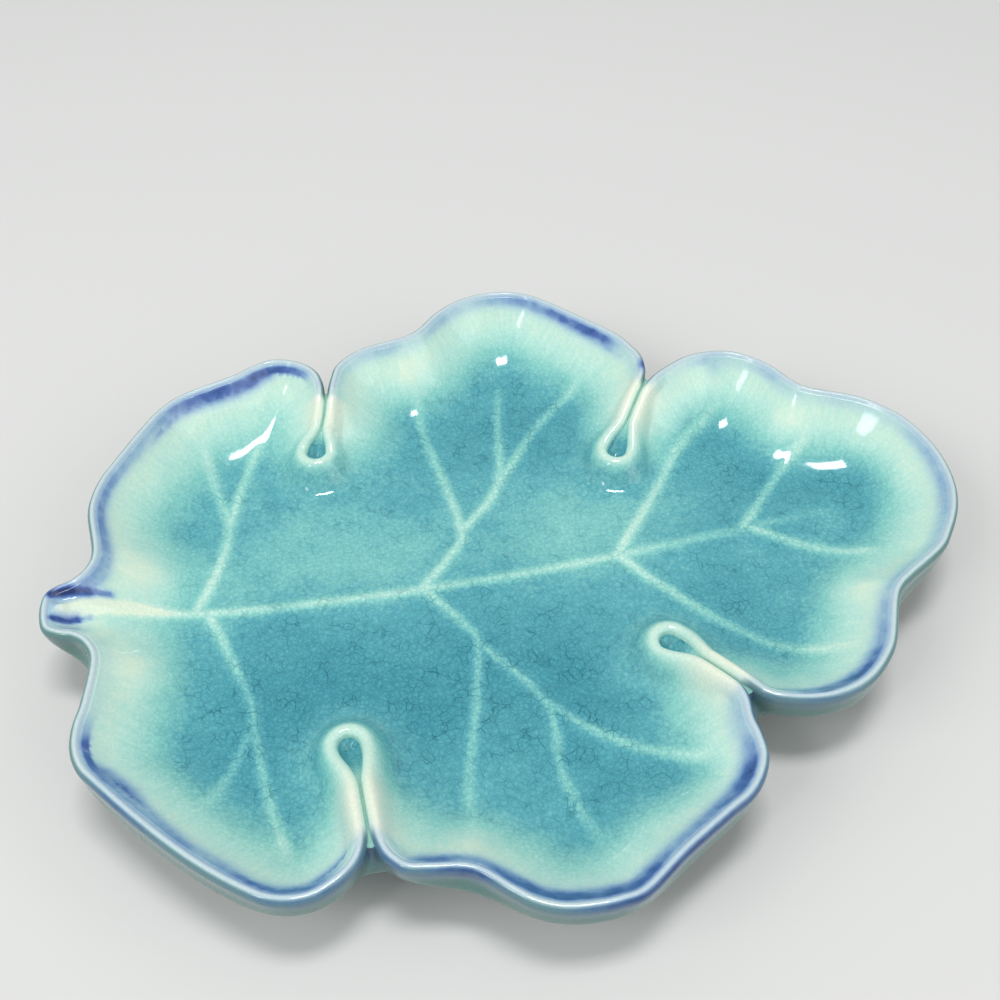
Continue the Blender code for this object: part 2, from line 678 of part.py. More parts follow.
def make_object(name, points, faces, colour, roughness, smooth_angle=50):
    """Add one named solid with its own material."""
    mesh = bpy.data.meshes.new(name)
    mesh.from_pydata([tuple(point) for point in points], [], [tuple(map(int, face)) for face in faces])
    mesh.shade_smooth()
    mesh.set_sharp_from_angle(angle=math.radians(smooth_angle))
    material = bpy.data.materials.new(name)
    material.use_nodes = True
    shader = material.node_tree.nodes['Principled BSDF']
    shader.inputs['Base Color'].default_value = colour
    shader.inputs['Roughness'].default_value = roughness
    shader.inputs['Metallic'].default_value = 0
    mesh.materials.append(material)
    placed = bpy.data.objects.new(name, mesh)
    bpy.context.scene.collection.objects.link(placed)
    return placed


def used_only(points, faces):
    """Drop the points that no face uses."""
    used = np.unique(faces)
    number = np.zeros(len(points), int)
    number[used] = np.arange(len(used))
    return points[used], number[faces]


def glaze_shell(levels, faces):
    """A closed shell between the skin and the clay, walled at its free edges."""
    outer, inner = levels[0], levels[1]
    count = len(outer)
    edges = {(face[i], face[(i + 1) % 3]) for face in faces for i in range(3)}
    free = [(a, b) for a, b in edges if (b, a) not in edges]
    walls = []
    for a, b in sorted(free):
        walls.append((b, a, a + count))
        walls.append((b, a + count, b + count))
    every = np.vstack((faces, faces[:, ::-1] + count, np.array(walls)))
    return used_only(np.vstack((outer, inner)), every)


def foot_solid():
    """The foot: an oval band with a rounded tread, up to a clearance under the clay."""
    section = [(foot_band * across, foot_band * height) for across, height in foot_section_shares]
    section.append((foot_band / 2, underside_height + glaze_thickness))
    section += [(-across, height) for across, height in reversed(section)]
    rings = []
    for across, height in section:
        oval = foot_oval(across, foot_stations)
        rings.append(np.column_stack((oval, np.full(foot_stations, height))))
    faces = []
    for ring in range(len(section)):
        for step in range(foot_stations):
            ahead = (step + 1) % foot_stations
            above = (ring + 1) % len(section)
            a, b = ring * foot_stations + step, ring * foot_stations + ahead
            c, d = above * foot_stations + ahead, above * foot_stations + step
            faces += [(a, b, c), (a, c, d)]
    return np.vstack(rings), faces


def clear_scene():
    """Remove whatever the scene starts with."""
    for thing in list(bpy.data.objects):
        bpy.data.objects.remove(thing, do_unlink=True)


def main():
    """Build the clay, the foot and the four coats of glaze, with the middle of the dish at zero."""
    clear_scene()
    levels, faces, zones = skin()
    low, high = levels[0].min(axis=0), levels[0].max(axis=0)
    middle = np.array(((low[0] + high[0]) / 2, (low[1] + high[1]) / 2, 0))
    levels = [level - middle for level in levels]
    foot_points, foot_faces = foot_solid()
    make_object('leaf_body', levels[2], faces, (0.72, 0.66, 0.56, 1), 0.75)
    make_object('foot_ring', foot_points - middle, foot_faces, (0.66, 0.55, 0.42, 1), 0.8)
    coats = (
        ('face_glaze', 'face', (0.16, 0.52, 0.55, 1)),
        ('rim_glaze', 'rim', (0.66, 0.76, 0.72, 1)),
        ('back_glaze', 'back', (0.22, 0.44, 0.41, 1)),
        ('base_glaze', 'base', (0.22, 0.44, 0.41, 1)))
    for name, zone, colour in coats:
        points, shell = glaze_shell(levels, faces[zones == zone])
        make_object(name, points, shell, colour, 0.06)


main()
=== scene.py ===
"""Ceramic leaf dish: coats of crackled celadon glaze over a pressed stoneware leaf on an oval foot.

The leaf's form is described once, in LeafForm. The rolled lip, the well, the outer wall and the
underside are meshes on that form, each a thin closed coat of glaze over the clay. Sizes in the
classes are millimetres and are turned to metres when a mesh is made.
"""
from __future__ import annotations

import logging
import math
from dataclasses import dataclass, field
from enum import Enum

import bpy
import numpy as np
from bpy.types import Material, Mesh, NodeSocket, NodeTree, Object
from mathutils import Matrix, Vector
from mathutils.geometry import delaunay_2d_cdt

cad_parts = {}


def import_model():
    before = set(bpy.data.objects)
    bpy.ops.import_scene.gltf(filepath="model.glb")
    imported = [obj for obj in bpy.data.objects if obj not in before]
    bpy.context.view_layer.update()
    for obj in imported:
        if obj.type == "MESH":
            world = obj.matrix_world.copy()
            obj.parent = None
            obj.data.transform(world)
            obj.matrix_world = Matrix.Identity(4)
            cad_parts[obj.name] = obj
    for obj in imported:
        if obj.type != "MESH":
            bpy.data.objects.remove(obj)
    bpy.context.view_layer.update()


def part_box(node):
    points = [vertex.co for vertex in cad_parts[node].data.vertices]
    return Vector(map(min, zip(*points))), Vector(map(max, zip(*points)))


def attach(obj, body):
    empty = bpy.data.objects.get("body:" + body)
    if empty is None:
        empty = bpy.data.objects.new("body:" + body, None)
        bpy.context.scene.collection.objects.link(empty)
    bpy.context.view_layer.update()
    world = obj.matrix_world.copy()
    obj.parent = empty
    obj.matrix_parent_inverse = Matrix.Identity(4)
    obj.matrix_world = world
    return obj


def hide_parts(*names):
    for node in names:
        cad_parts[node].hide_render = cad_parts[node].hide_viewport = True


Array = np.ndarray
logging.basicConfig(level=logging.INFO, format="%(message)s")
log = logging.getLogger("leaf_dish")

MILLIMETRE = 0.001
# How many points are measured against a line at once
BATCH = 3000
# Faces that meet at more than this are parted by a sharp edge
SHARP_DEGREES = 60
# The tables below give places in 158ths of the leaf's length
LEAF_PARTS = 158.0
# The frame's origin in the leaf's plan, in the same parts
LEAF_MIDDLE = (79.02, -0.97)

# The free edge of the bottom, tip, top and stem lobe: along the midrib, and across it
LOBES = ((
    (47.5, -50.3), (48.6, -52.3), (51.4, -55.0), (55.0, -55.9), (60.5, -57.1), (65.0, -61.0),
    (68.0, -63.4), (71.7, -65.0), (75.8, -65.6), (80.0, -65.6), (84.2, -64.7), (91.1, -60.2),
    (98.8, -55.9), (102.5, -53.9), (105.2, -51.3), (107.1, -47.8), (107.4, -44.2), (107.2, -40.6),
    (108.2, -36.6)), (
    (108.2, -36.6), (109.3, -38.0), (112.0, -39.4), (116.0, -40.5), (120.2, -40.8),
    (124.5, -40.0), (128.2, -38.2), (131.4, -35.5), (134.0, -32.2), (137.3, -25.5),
    (139.1, -23.0), (142.0, -21.0), (148.9, -16.9), (152.2, -13.4), (155.2, -9.1),
    (157.2, -4.4), (158.0, 0.5), (157.9, 5.4), (156.8, 10.2), (155.0, 14.5), (151.9, 18.3),
    (148.3, 21.3), (140.7, 25.1), (138.3, 27.8), (136.3, 31.5), (133.4, 34.9), (129.6, 37.5),
    (125.2, 38.4), (121.0, 38.1), (117.5, 36.8), (111.7, 33.7)), (
    (111.7, 33.7), (112.2, 39.2), (111.0, 43.1), (108.8, 47.2), (101.7, 55.1), (97.8, 59.2),
    (94.1, 62.2), (89.6, 63.9), (84.0, 64.1), (78.9, 62.7), (74.4, 59.8), (71.0, 56.4),
    (67.6, 54.4), (59.8, 52.8), (56.0, 50.9), (53.3, 48.4), (52.0, 45.2), (50.9, 41.8)), (
    (50.9, 41.8), (50.7, 44.3), (50.0, 47.3), (48.2, 49.9), (45.2, 51.9), (41.3, 52.8),
    (37.6, 51.7), (34.0, 49.9), (24.3, 46.5), (19.8, 43.2), (16.5, 39.0), (11.4, 31.2),
    (9.3, 27.7), (7.8, 23.6), (7.3, 19.2), (8.1, 11.2), (7.1, 7.8), (4.9, 5.8), (2.4, 4.9),
    (0.6, 3.3), (0.0, -0.2), (0.6, -3.7), (2.8, -5.4), (5.4, -6.4), (7.2, -8.2), (8.1, -11.4),
    (6.9, -18.6), (5.8, -22.4), (5.5, -26.3), (6.5, -30.0), (8.8, -33.2), (15.1, -40.7),
    (22.4, -48.3), (29.5, -54.1), (33.8, -56.3), (38.3, -56.7), (42.0, -55.4), (45.2, -53.2),
    (47.5, -50.3)))
# Each fold between two lobes, from its mouth to the middle of its pit
FOLDS = (
    ((108.2, -36.6), (104.5, -29.0), (102.4, -25.0), (100.2, -21.6)),
    ((111.7, 33.7), (109.2, 31.0), (104.8, 24.8), (102.7, 21.7)),
    ((50.9, 41.8), (50.0, 38.2), (48.7, 35.2), (47.4, 32.4)),
    ((47.5, -50.3), (47.3, -45.0), (46.9, -35.6), (46.1, -30.4)))
MIDRIB = (
    (2.8, 0.6), (8.0, 1.6), (14.0, 2.2), (20.0, 1.9), (26.0, 1.2), (33.0, 0.4), (45.0, -0.3),
    (60.0, -0.9), (80.0, -1.0), (96.0, -0.4), (110.0, 0.5), (122.0, 1.3), (142.0, 2.8))
VEINS = (
    ((23.5, 1.6), (27.2, 9.5), (30.0, 20.0), (28.0, 31.0), (26.8, 40.0)),
    ((30.0, 20.0), (33.2, 30.5), (37.5, 40.0)),
    ((62.0, -0.9), (68.2, 5.7), (71.2, 10.8), (70.0, 24.0), (68.2, 37.0), (68.5, 46.0)),
    ((71.2, 10.8), (79.8, 20.8), (82.8, 36.0), (85.5, 48.5)),
    ((79.8, 20.8), (91.0, 35.0), (101.5, 43.5)),
    ((97.0, -0.4), (107.5, 12.5), (115.5, 22.5), (126.5, 31.0)),
    ((121.0, 1.2), (132.0, 12.7), (139.5, 18.0)),
    ((25.5, 1.3), (29.0, -9.0), (31.6, -19.5), (28.3, -28.0), (22.8, -36.5)),
    ((31.6, -19.5), (32.8, -34.0), (35.7, -47.5)),
    ((62.5, -1.0), (68.0, -9.5), (69.5, -13.2), (67.2, -24.5), (63.5, -38.0), (62.5, -48.0)),
    ((69.5, -13.2), (78.2, -26.8), (78.0, -40.0), (81.2, -53.0)),
    ((78.2, -26.8), (86.0, -34.2), (101.0, -44.0)),
    ((97.5, -0.5), (103.3, -8.3), (116.0, -21.8), (130.0, -29.5)),
    ((122.5, 1.2), (131.3, -4.8), (143.0, -9.6)))
PLEATS = (
    ((67.6, 54.4), (68.4, 42.0)), ((60.6, -57.0), (62.4, -44.0)),
    ((140.7, 25.1), (128.0, 13.0)), ((139.1, -23.0), (128.0, -13.0)),
    ((8.1, 11.2), (21.0, 9.5)), ((8.1, -11.4), (21.0, -10.5)))
# Where the cobalt inside the lip is strong or weak: place on the edge, strength, width in mm
COBALT_MARKS = (
    (0.0, -0.2, 0.38, 1.6), (5.4, -6.4, 0.13, 1.6), (8.1, -11.4, 0.08, 1.6),
    (6.6, -19.8, 0.13, 1.8), (5.4, -24.8, 0.79, 2.4), (5.9, -29.7, 0.84, 2.6),
    (8.8, -34.4, 0.61, 1.8), (15.6, -42.0, 0.46, 1.6), (18.7, -44.6, 0.61, 1.8),
    (22.7, -47.9, 0.44, 1.6), (29.0, -53.3, 0.70, 1.8), (36.1, -56.9, 0.74, 1.9),
    (40.3, -56.5, 0.70, 1.8), (45.3, -53.3, 0.19, 1.4), (50.5, -54.5, 0.23, 1.4),
    (53.8, -56.0, 0.84, 1.8), (57.0, -56.4, 0.70, 1.6), (60.6, -57.0, 0.51, 1.5),
    (63.3, -59.7, 0.79, 1.8), (67.8, -63.8, 0.84, 2.3), (74.2, -66.0, 0.84, 2.5),
    (77.9, -66.1, 0.84, 2.2), (84.2, -64.6, 0.82, 1.9), (91.3, -60.5, 0.54, 1.7),
    (97.5, -57.6, 0.61, 1.7), (104.1, -53.6, 0.84, 2.1), (106.3, -50.2, 0.84, 2.1),
    (107.2, -42.0, 0.38, 1.8), (109.3, -38.0, 0.19, 1.6), (112.4, -39.6, 0.23, 1.6),
    (116.0, -40.5, 0.70, 1.9), (120.2, -40.8, 0.84, 2.2), (124.0, -40.2, 0.84, 2.4),
    (128.2, -38.2, 0.84, 2.2), (131.7, -35.1, 0.64, 2.0), (137.0, -26.2, 0.44, 1.8),
    (144.5, -19.6, 0.28, 1.6), (152.6, -12.9, 0.38, 1.7), (157.7, -2.0, 0.51, 1.8),
    (157.3, 8.4, 0.38, 1.8), (153.2, 17.0, 0.18, 1.6), (145.5, 22.7, 0.28, 1.6),
    (141.4, 24.7, 0.13, 1.6), (136.0, 31.9, 0.41, 1.8), (132.5, 35.6, 0.18, 1.6),
    (123.6, 38.4, 0.38, 1.8), (118.5, 37.3, 0.13, 1.6), (111.2, 42.6, 0.19, 1.8),
    (108.1, 48.0, 0.78, 2.3), (104.3, 52.2, 0.78, 2.2), (97.3, 59.6, 0.62, 2.0),
    (87.6, 64.2, 0.50, 2.0), (82.7, 63.9, 0.31, 1.8), (73.0, 58.5, 0.41, 1.9),
    (68.2, 54.6, 0.18, 1.6), (63.7, 53.6, 0.38, 1.8), (54.2, 49.4, 0.23, 1.6),
    (50.6, 44.7, 0.06, 1.6), (47.2, 50.7, 0.79, 2.4), (41.3, 52.8, 0.84, 2.8),
    (30.6, 48.7, 0.77, 2.4), (25.3, 46.9, 0.79, 2.2), (20.3, 43.7, 0.64, 2.0),
    (16.5, 39.0, 0.38, 1.8), (9.9, 28.9, 0.54, 2.0), (7.7, 15.1, 0.70, 2.2),
    (7.9, 9.5, 0.44, 2.0), (4.9, 5.8, 0.64, 1.6))
# Where cobalt ran down the outside of the lip: place on the edge, strength
COBALT_RUNS = (
    (0.0, -0.2, 0.15), (8.1, -11.4, 0.08), (5.9, -29.7, 0.15), (9.5, -35.5, 0.75),
    (13.0, -39.5, 0.70), (18.7, -44.6, 0.32), (26.0, -50.5, 0.28), (32.4, -55.7, 0.55),
    (40.3, -56.5, 0.62), (46.0, -52.5, 0.60), (48.6, -52.3, 0.80), (53.8, -56.0, 0.45),
    (57.0, -56.4, 0.95), (61.0, -57.5, 1.00), (63.3, -59.7, 0.50), (66.5, -63.0, 0.28),
    (71.6, -65.5, 0.40), (75.0, -66.1, 0.70), (81.0, -65.6, 0.90), (91.3, -60.5, 0.95),
    (99.2, -56.8, 0.90), (105.6, -51.6, 0.60), (107.4, -44.2, 0.40), (108.2, -38.5, 0.85),
    (112.4, -39.6, 0.40), (118.0, -40.8, 0.60), (124.0, -40.2, 0.45), (131.7, -35.1, 0.22),
    (144.5, -19.6, 0.14), (158.0, 0.5, 0.10), (128.0, 38.0, 0.06), (94.0, 62.2, 0.10),
    (50.6, 44.7, 0.10), (24.0, 46.5, 0.10), (4.9, 5.8, 0.20))
# Brushed cobalt in the grooves beside the stem: its line, radius in mm and strength
COBALT_STROKES = (
    (((1.9, 3.2), (4.5, 3.7), (7.6, 3.9)), 1.0, 1.0),
    (((7.6, 3.9), (10.5, 4.0)), 0.75, 0.75),
    (((2.2, -1.2), (4.0, -1.0), (5.6, -0.6)), 0.85, 1.0),
    (((5.6, -0.6), (7.4, -0.2)), 0.55, 0.5))
# Cobalt that ran together: middle, radius in mm and strength
COBALT_POOLS = (
    ((112.4, 36.9), 2.0, 1.0), ((51.0, 44.0), 1.4, 0.45), ((125.8, 36.0), 1.8, 0.35))
# Hollows where the glaze stood deepest: middle, reach in mm and strength, paler where negative
GLAZE_HOLLOWS = (
    ((42.0, -17.0), 20.0, 0.28), ((74.0, -20.0), 16.0, 0.21), ((88.0, -24.0), 12.0, 0.14),
    ((58.0, -24.0), 12.0, 0.12), ((30.0, -26.0), 11.0, 0.12), ((76.0, 36.0), 14.0, 0.14),
    ((92.0, 34.0), 11.0, 0.16), ((60.0, 24.0), 12.0, 0.05), ((128.0, 14.0), 13.0, 0.20),
    ((113.0, -12.0), 14.0, 0.16), ((30.0, 25.0), 12.0, 0.05), ((82.0, -42.0), 11.0, 0.16),
    ((58.0, 5.0), 11.0, -0.14), ((42.0, 9.0), 12.0, -0.14), ((70.0, 0.0), 8.0, 0.06),
    ((100.0, 6.0), 11.0, -0.11), ((18.0, 6.0), 11.0, -0.20), ((86.0, 8.0), 10.0, -0.10),
    ((98.0, -46.0), 8.0, 0.22), ((148.0, 8.0), 9.0, 0.28), ((119.0, 30.0), 9.0, 0.24),
    ((88.0, 52.0), 9.0, 0.10), ((14.0, 20.0), 9.0, 0.10), ((111.0, -26.0), 9.0, 0.10))


def linear(hex_colour: str) -> tuple[float, float, float, float]:
    """Turn an sRGB hex colour into the linear values that a shader takes.

    Args:
        hex_colour: Six hex digits after a hash sign.

    Returns:
        Linear red, green and blue, and an alpha of 1.
    """
    parts = [int(hex_colour[i:i + 2], 16) / 255 for i in (1, 3, 5)]
    red, green, blue = [p / 12.92 if p <= 0.04045 else ((p + 0.055) / 1.055) ** 2.4 for p in parts]
    return red, green, blue, 1.0


def leaf_plan(points: tuple) -> Array:
    """Turn points in leaf parts into millimetres.

    Args:
        points: Rows of a place along and across.

    Returns:
        The points in millimetres.
    """
    return np.array(points, float) * (LeafForm.leaf_length / LEAF_PARTS)


def lengths_along(line: Array) -> Array:
    """Give the length from the start of a line to each of its points.

    Args:
        line: The points in order.

    Returns:
        One length a point.
    """
    return np.concatenate(([0.0], np.cumsum(np.linalg.norm(np.diff(line, axis=0), axis=1))))


def evenly(line: Array, spacing: float) -> Array:
    """Place points evenly along a line, both ends included, about a spacing apart.

    Args:
        line: The line's points in order.
        spacing: The wished distance between points.

    Returns:
        The new points.
    """
    run = lengths_along(line)
    places = np.linspace(0, run[-1], max(int(round(run[-1] / spacing)), 2) + 1)
    return np.stack([
        np.interp(places, run, line[:, axis]) for axis in range(line.shape[1])], axis=1)


def curve_through(points: Array, fineness: int) -> Array:
    """Draw a smooth curve through points.

    Args:
        points: The points, in order, in as many dimensions as wanted.
        fineness: Steps from one point to the next.

    Returns:
        Points along the curve, both ends included.
    """
    ends = (2 * points[0] - points[1], 2 * points[-1] - points[-2])
    knots = np.vstack((ends[:1], points, ends[1:]))
    share = np.linspace(0, 1, fineness, endpoint=False)[:, None]
    pieces = []
    for one, two, three, four in zip(knots, knots[1:], knots[2:], knots[3:]):
        bend = 2 * one - 5 * two + 4 * three - four
        twist = 3 * two - one - 3 * three + four
        pieces.append(
            (2 * two + (three - one) * share + bend * share ** 2 + twist * share ** 3) / 2)
    return np.vstack(pieces + [points[-1:]])


def turned_left(directions: Array) -> Array:
    """Turn plan directions a quarter turn to the left.

    Args:
        directions: One row a direction.

    Returns:
        The turned directions.
    """
    return np.stack((-directions[:, 1], directions[:, 0]), axis=1)


def ring_side(ring: Array) -> Array:
    """Give the unit direction to the left of a closed ring at each of its points.

    Args:
        ring: The ring's plan points in order.

    Returns:
        One direction a point.
    """
    steps = np.roll(ring, -1, axis=0) - np.roll(ring, 1, axis=0)
    return turned_left(steps / np.linalg.norm(steps, axis=1)[:, None])


def softened_ring(ring: Array, reach: float) -> Array:
    """Smooth a closed ring of values, with each point's neighbours weighed by a bell curve.

    Args:
        ring: Values in ring order, one row a point.
        reach: Spread of the bell curve, counted in points.

    Returns:
        The smoothed values.
    """
    waves = np.fft.rfft(ring, axis=0)
    pace = np.arange(len(waves)) * 2 * math.pi / len(ring)
    weight = np.exp(-(pace * reach) ** 2 / 2)
    return np.fft.irfft(waves * weight.reshape((-1,) + (1,) * (ring.ndim - 1)), n=len(ring), axis=0)


def eased(share: Array) -> Array:
    """Ease a share from 0 to 1, level at both ends.

    Args:
        share: The shares, clipped to 0 and 1.

    Returns:
        The eased shares.
    """
    share = np.clip(share, 0, 1)
    return share ** 2 * (3 - 2 * share)


def bell(distance: Array, reach: float | Array) -> Array:
    """Give a soft rise that is 1 at no distance.

    Args:
        distance: How far off.
        reach: Where the rise is down to about a third.

    Returns:
        The rise.
    """
    return np.exp(-(distance / reach) ** 2)


def line_reach(points: Array, line: Array) -> tuple[Array, Array]:
    """Measure how far points lie from an open line.

    Args:
        points: Plan points.
        line: The line's points in order.

    Returns:
        Each point's distance, and the share of the line's length at its nearest place.
    """
    step = np.diff(line, axis=0)
    size = np.maximum((step ** 2).sum(axis=1), 1e-12)
    run = lengths_along(line)
    distances, shares = [], []
    for start in range(0, len(points), BATCH):
        away = points[start:start + BATCH, None, :] - line[None, :-1, :]
        along = np.clip((away * step).sum(axis=2) / size, 0, 1)
        squares = ((away - along[:, :, None] * step) ** 2).sum(axis=2)
        best = squares.argmin(axis=1)
        rows = np.arange(len(best))
        distances.append(np.sqrt(squares[rows, best]))
        shares.append((run[best] + along[rows, best] * np.sqrt(size[best])) / run[-1])
    return np.concatenate(distances), np.concatenate(shares)


def inside_ring(points: Array, ring: Array) -> Array:
    """Say which points lie inside a closed ring.

    Args:
        points: Plan points.
        ring: The ring's points in order.

    Returns:
        True or False for each point.
    """
    ahead = np.roll(ring, -1, axis=0)
    rise = np.where(ahead[:, 1] == ring[:, 1], 1, ahead[:, 1] - ring[:, 1])
    answers = []
    for start in range(0, len(points), BATCH):
        x, y = points[start:start + BATCH, 0:1], points[start:start + BATCH, 1:2]
        spans = (ring[:, 1] > y) != (ahead[:, 1] > y)
        cross = ring[:, 0] + (y - ring[:, 1]) * (ahead[:, 0] - ring[:, 0]) / rise
        answers.append((spans & (x < cross)).sum(axis=1) % 2 == 1)
    return np.concatenate(answers)


def staggered_grid(ring: Array, spacing: float) -> Array:
    """Lay a staggered grid of points over the box of a ring.

    Args:
        ring: The ring's points.
        spacing: Distance between neighbours.

    Returns:
        The grid's points.
    """
    low, high = ring.min(axis=0), ring.max(axis=0)
    row_height = spacing * math.sqrt(3) / 2
    rows = np.arange(int((high[1] - low[1]) / row_height) + 1)
    columns = np.arange(int((high[0] - low[0]) / spacing) + 2)
    row, column = np.meshgrid(rows, columns, indexing="ij")
    x = low[0] + (column + (row % 2) / 2) * spacing
    return np.stack((x, low[1] + row * row_height), axis=2).reshape(-1, 2)


@dataclass(frozen=True)
class LeafForm:
    """Plan and heights of the glazed leaf, in millimetres, with the table at 0."""

    leaf_length: float = 160.0
    rim_height: float = 18.2
    floor_height: float = 7.3
    wall_width: float = 15.0
    wall_power: float = 1.8
    lip_radius: float = 1.3
    crease_inset: float = 2.3
    crease_depth: float = 0.85
    front_lip_share: float = 0.84
    far_lip_share: float = 0.76
    front_edge: float = -60.0
    front_to_far: float = 90.0
    fold_end_height: float = 12.2
    ridge_width: float = 5.4
    groove_half_width: float = 0.20
    pit_radius: float = 1.75
    pit_depth: float = 1.0
    pit_flare_start: float = 0.58
    pit_flare_length: float = 0.40
    midrib_swell: float = 0.7
    midrib_reach: float = 14.0
    vein_swell: float = 0.45
    vein_reach: float = 5.0
    stem_ridge_rise: float = 2.2
    stem_ridge_reach: float = 1.1
    stem_ridge_length: float = 15.0
    pleat_rise: float = 0.9
    pleat_half_width: float = 3.6
    blend_size: float = 1.0

    def lobes(self) -> list[Array]:
        """Draw the free edge of the four lobes, anticlockwise.

        Returns:
            One line a lobe.
        """
        return [curve_through(leaf_plan(points), 8) for points in LOBES]

    def folds(self) -> list[Array]:
        """Draw the four folds, each from the end of its lobe.

        Returns:
            One line a fold.
        """
        return [curve_through(leaf_plan(points), 8) for points in FOLDS]

    def outline(self) -> Array:
        """Draw the whole outer edge as one closed line.

        Returns:
            The line, its first point again at its end.
        """
        lobes = self.lobes()
        return np.vstack([lobe[:-1] for lobe in lobes] + [lobes[0][:1]])

    def groove_half(self, share: Array) -> Array:
        """Give half the width of a fold's groove, which flares into the pit.

        Args:
            share: The share along the fold.

        Returns:
            The half width.
        """
        flare = eased((share - self.pit_flare_start) / self.pit_flare_length)
        return self.groove_half_width + (self.pit_radius - self.groove_half_width) * flare

    def fold_crest(self, share: Array) -> Array:
        """Give the height of the ridges beside a fold, which drop towards the pit.

        Args:
            share: The share along the fold.

        Returns:
            The height.
        """
        return self.rim_height + (self.fold_end_height - self.rim_height) * share ** 1.2

    def far_share(self, points: Array) -> Array:
        """Give how far across the leaf each point lies, from 0 at the front to 1 at the far side.

        Args:
            points: Plan points.

        Returns:
            The share across.
        """
        return eased((points[:, 1] - self.front_edge) / self.front_to_far)

    def lip_share(self, points: Array) -> Array:
        """Give the lip's size by place: it is rolled thicker along the front than on the far side.

        Args:
            points: Plan points.

        Returns:
            The share of its full size.
        """
        change = self.far_lip_share - self.front_lip_share
        return self.front_lip_share + change * self.far_share(points)

    def quarter_round(self, reach: Array, radius: Array) -> Array:
        """Give the height of a rounded edge by the distance in from its side.

        Args:
            reach: The distance in from the side.
            radius: The edge's radius.

        Returns:
            The height.
        """
        inner = radius - np.clip(reach, 0, radius)
        return np.sqrt(np.clip(radius ** 2 - inner ** 2, 0, None))

    def swells(self, points: Array) -> Array:
        """Give the broad swell of the floor that carries the veins.

        Args:
            points: Plan points.

        Returns:
            The rise of the floor at each point.
        """
        distance, _ = line_reach(points, curve_through(leaf_plan(MIDRIB), 6))
        broad = self.midrib_swell * bell(distance, self.midrib_reach)
        wide = self.vein_swell * bell(distance, self.vein_reach)
        for vein in VEINS:
            distance, share = line_reach(points, curve_through(leaf_plan(vein), 4))
            wide = np.maximum(wide, self.vein_swell * bell(distance, self.vein_reach) * (1 - share))
        return broad + wide

    def pleats(self, points: Array, edge: Array) -> Array:
        """Give the rise of the soft pleats that run in from the bends of the outline.

        Args:
            points: Plan points.
            edge: Distance of each from the outline.

        Returns:
            The rise at each point.
        """
        rise = np.zeros(len(points))
        for pleat in PLEATS:
            distance, share = line_reach(points, leaf_plan(pleat))
            lift = bell(distance, self.pleat_half_width) * np.sin(math.pi * np.clip(share, 0, 1))
            rise = np.maximum(rise, self.pleat_rise * lift)
        return rise * np.clip((edge - self.crease_inset) / self.wall_width * 4, 0, 1)

    def rim_profile(self, edge: Array, floor: Array, size: Array) -> Array:
        """Give the height of the lip, the crease and the inner wall.

        Args:
            edge: Distance of each point from the outline.
            floor: Height of the floor there.
            size: The lip's share of its full size there.

        Returns:
            The height of each point.
        """
        radius, crease, depth = (
            self.lip_radius * size, self.crease_inset * size, self.crease_depth * size)
        inner = np.clip((edge - radius) / (crease - radius), 0, 1)
        lip = self.rim_height - depth * (1 - np.cos(np.pi * inner)) / 2
        down = 1 - np.clip((edge - crease) / self.wall_width, 0, 1)
        wall = floor + (self.rim_height - depth - floor) * down ** self.wall_power
        return np.where(edge < crease - 1e-6, lip, wall)

    def blended(self, first: Array, second: Array, floor: Array) -> Array:
        """Take the higher of two heights, eased where they cross between floor and rim.

        Args:
            first: One height of each point.
            second: The other height.
            floor: Height of the floor there.

        Returns:
            The eased height.
        """
        higher, lower = np.maximum(first, second), np.minimum(first, second)
        size = self.blend_size * np.clip((self.rim_height - higher) / self.blend_size, 0, 1)
        size = np.minimum(size, np.clip(lower - floor, 0, None)) + 1e-6
        return higher + np.clip(size - (higher - lower), 0, None) ** 2 / (4 * size)

    def height(self, points: Array, edge: Array, reaches: list, size: Array) -> Array:
        """Give the height of the glazed face.

        Args:
            points: Plan points.
            edge: Distance of each point from the outline.
            reaches: For each fold, the distance from its groove's side and the share along it.
            size: The lip's share of its full size at each point.

        Returns:
            The height of each point, without the narrow ridges of the veins.
        """
        floor = self.floor_height + self.swells(points)
        radius = self.lip_radius * size
        height = self.rim_profile(edge, floor, size) + self.pleats(points, edge)
        midrib = leaf_plan(MIDRIB)
        stem = self.stem_ridge_rise * bell(line_reach(points, midrib)[0], self.stem_ridge_reach)
        stem *= np.clip(1 - (points[:, 0] - midrib[0, 0]) / self.stem_ridge_length, 0, 1)
        height = height + stem * np.clip((edge - self.lip_radius) / self.crease_inset, 0, 1)
        for reach, share in reaches:
            crest = self.fold_crest(share)
            fall = np.clip((reach - radius) / self.ridge_width, 0, 1)
            ridge = floor + (crest - floor) * (1 + np.cos(math.pi * fall)) / 2
            height = np.where(fall < 1, self.blended(height, ridge, floor), height)
            flank = crest - radius + self.quarter_round(reach, radius)
            height = np.where(reach < radius, np.minimum(height, flank), height)
        return np.minimum(height, self.rim_height - radius + self.quarter_round(edge, radius))


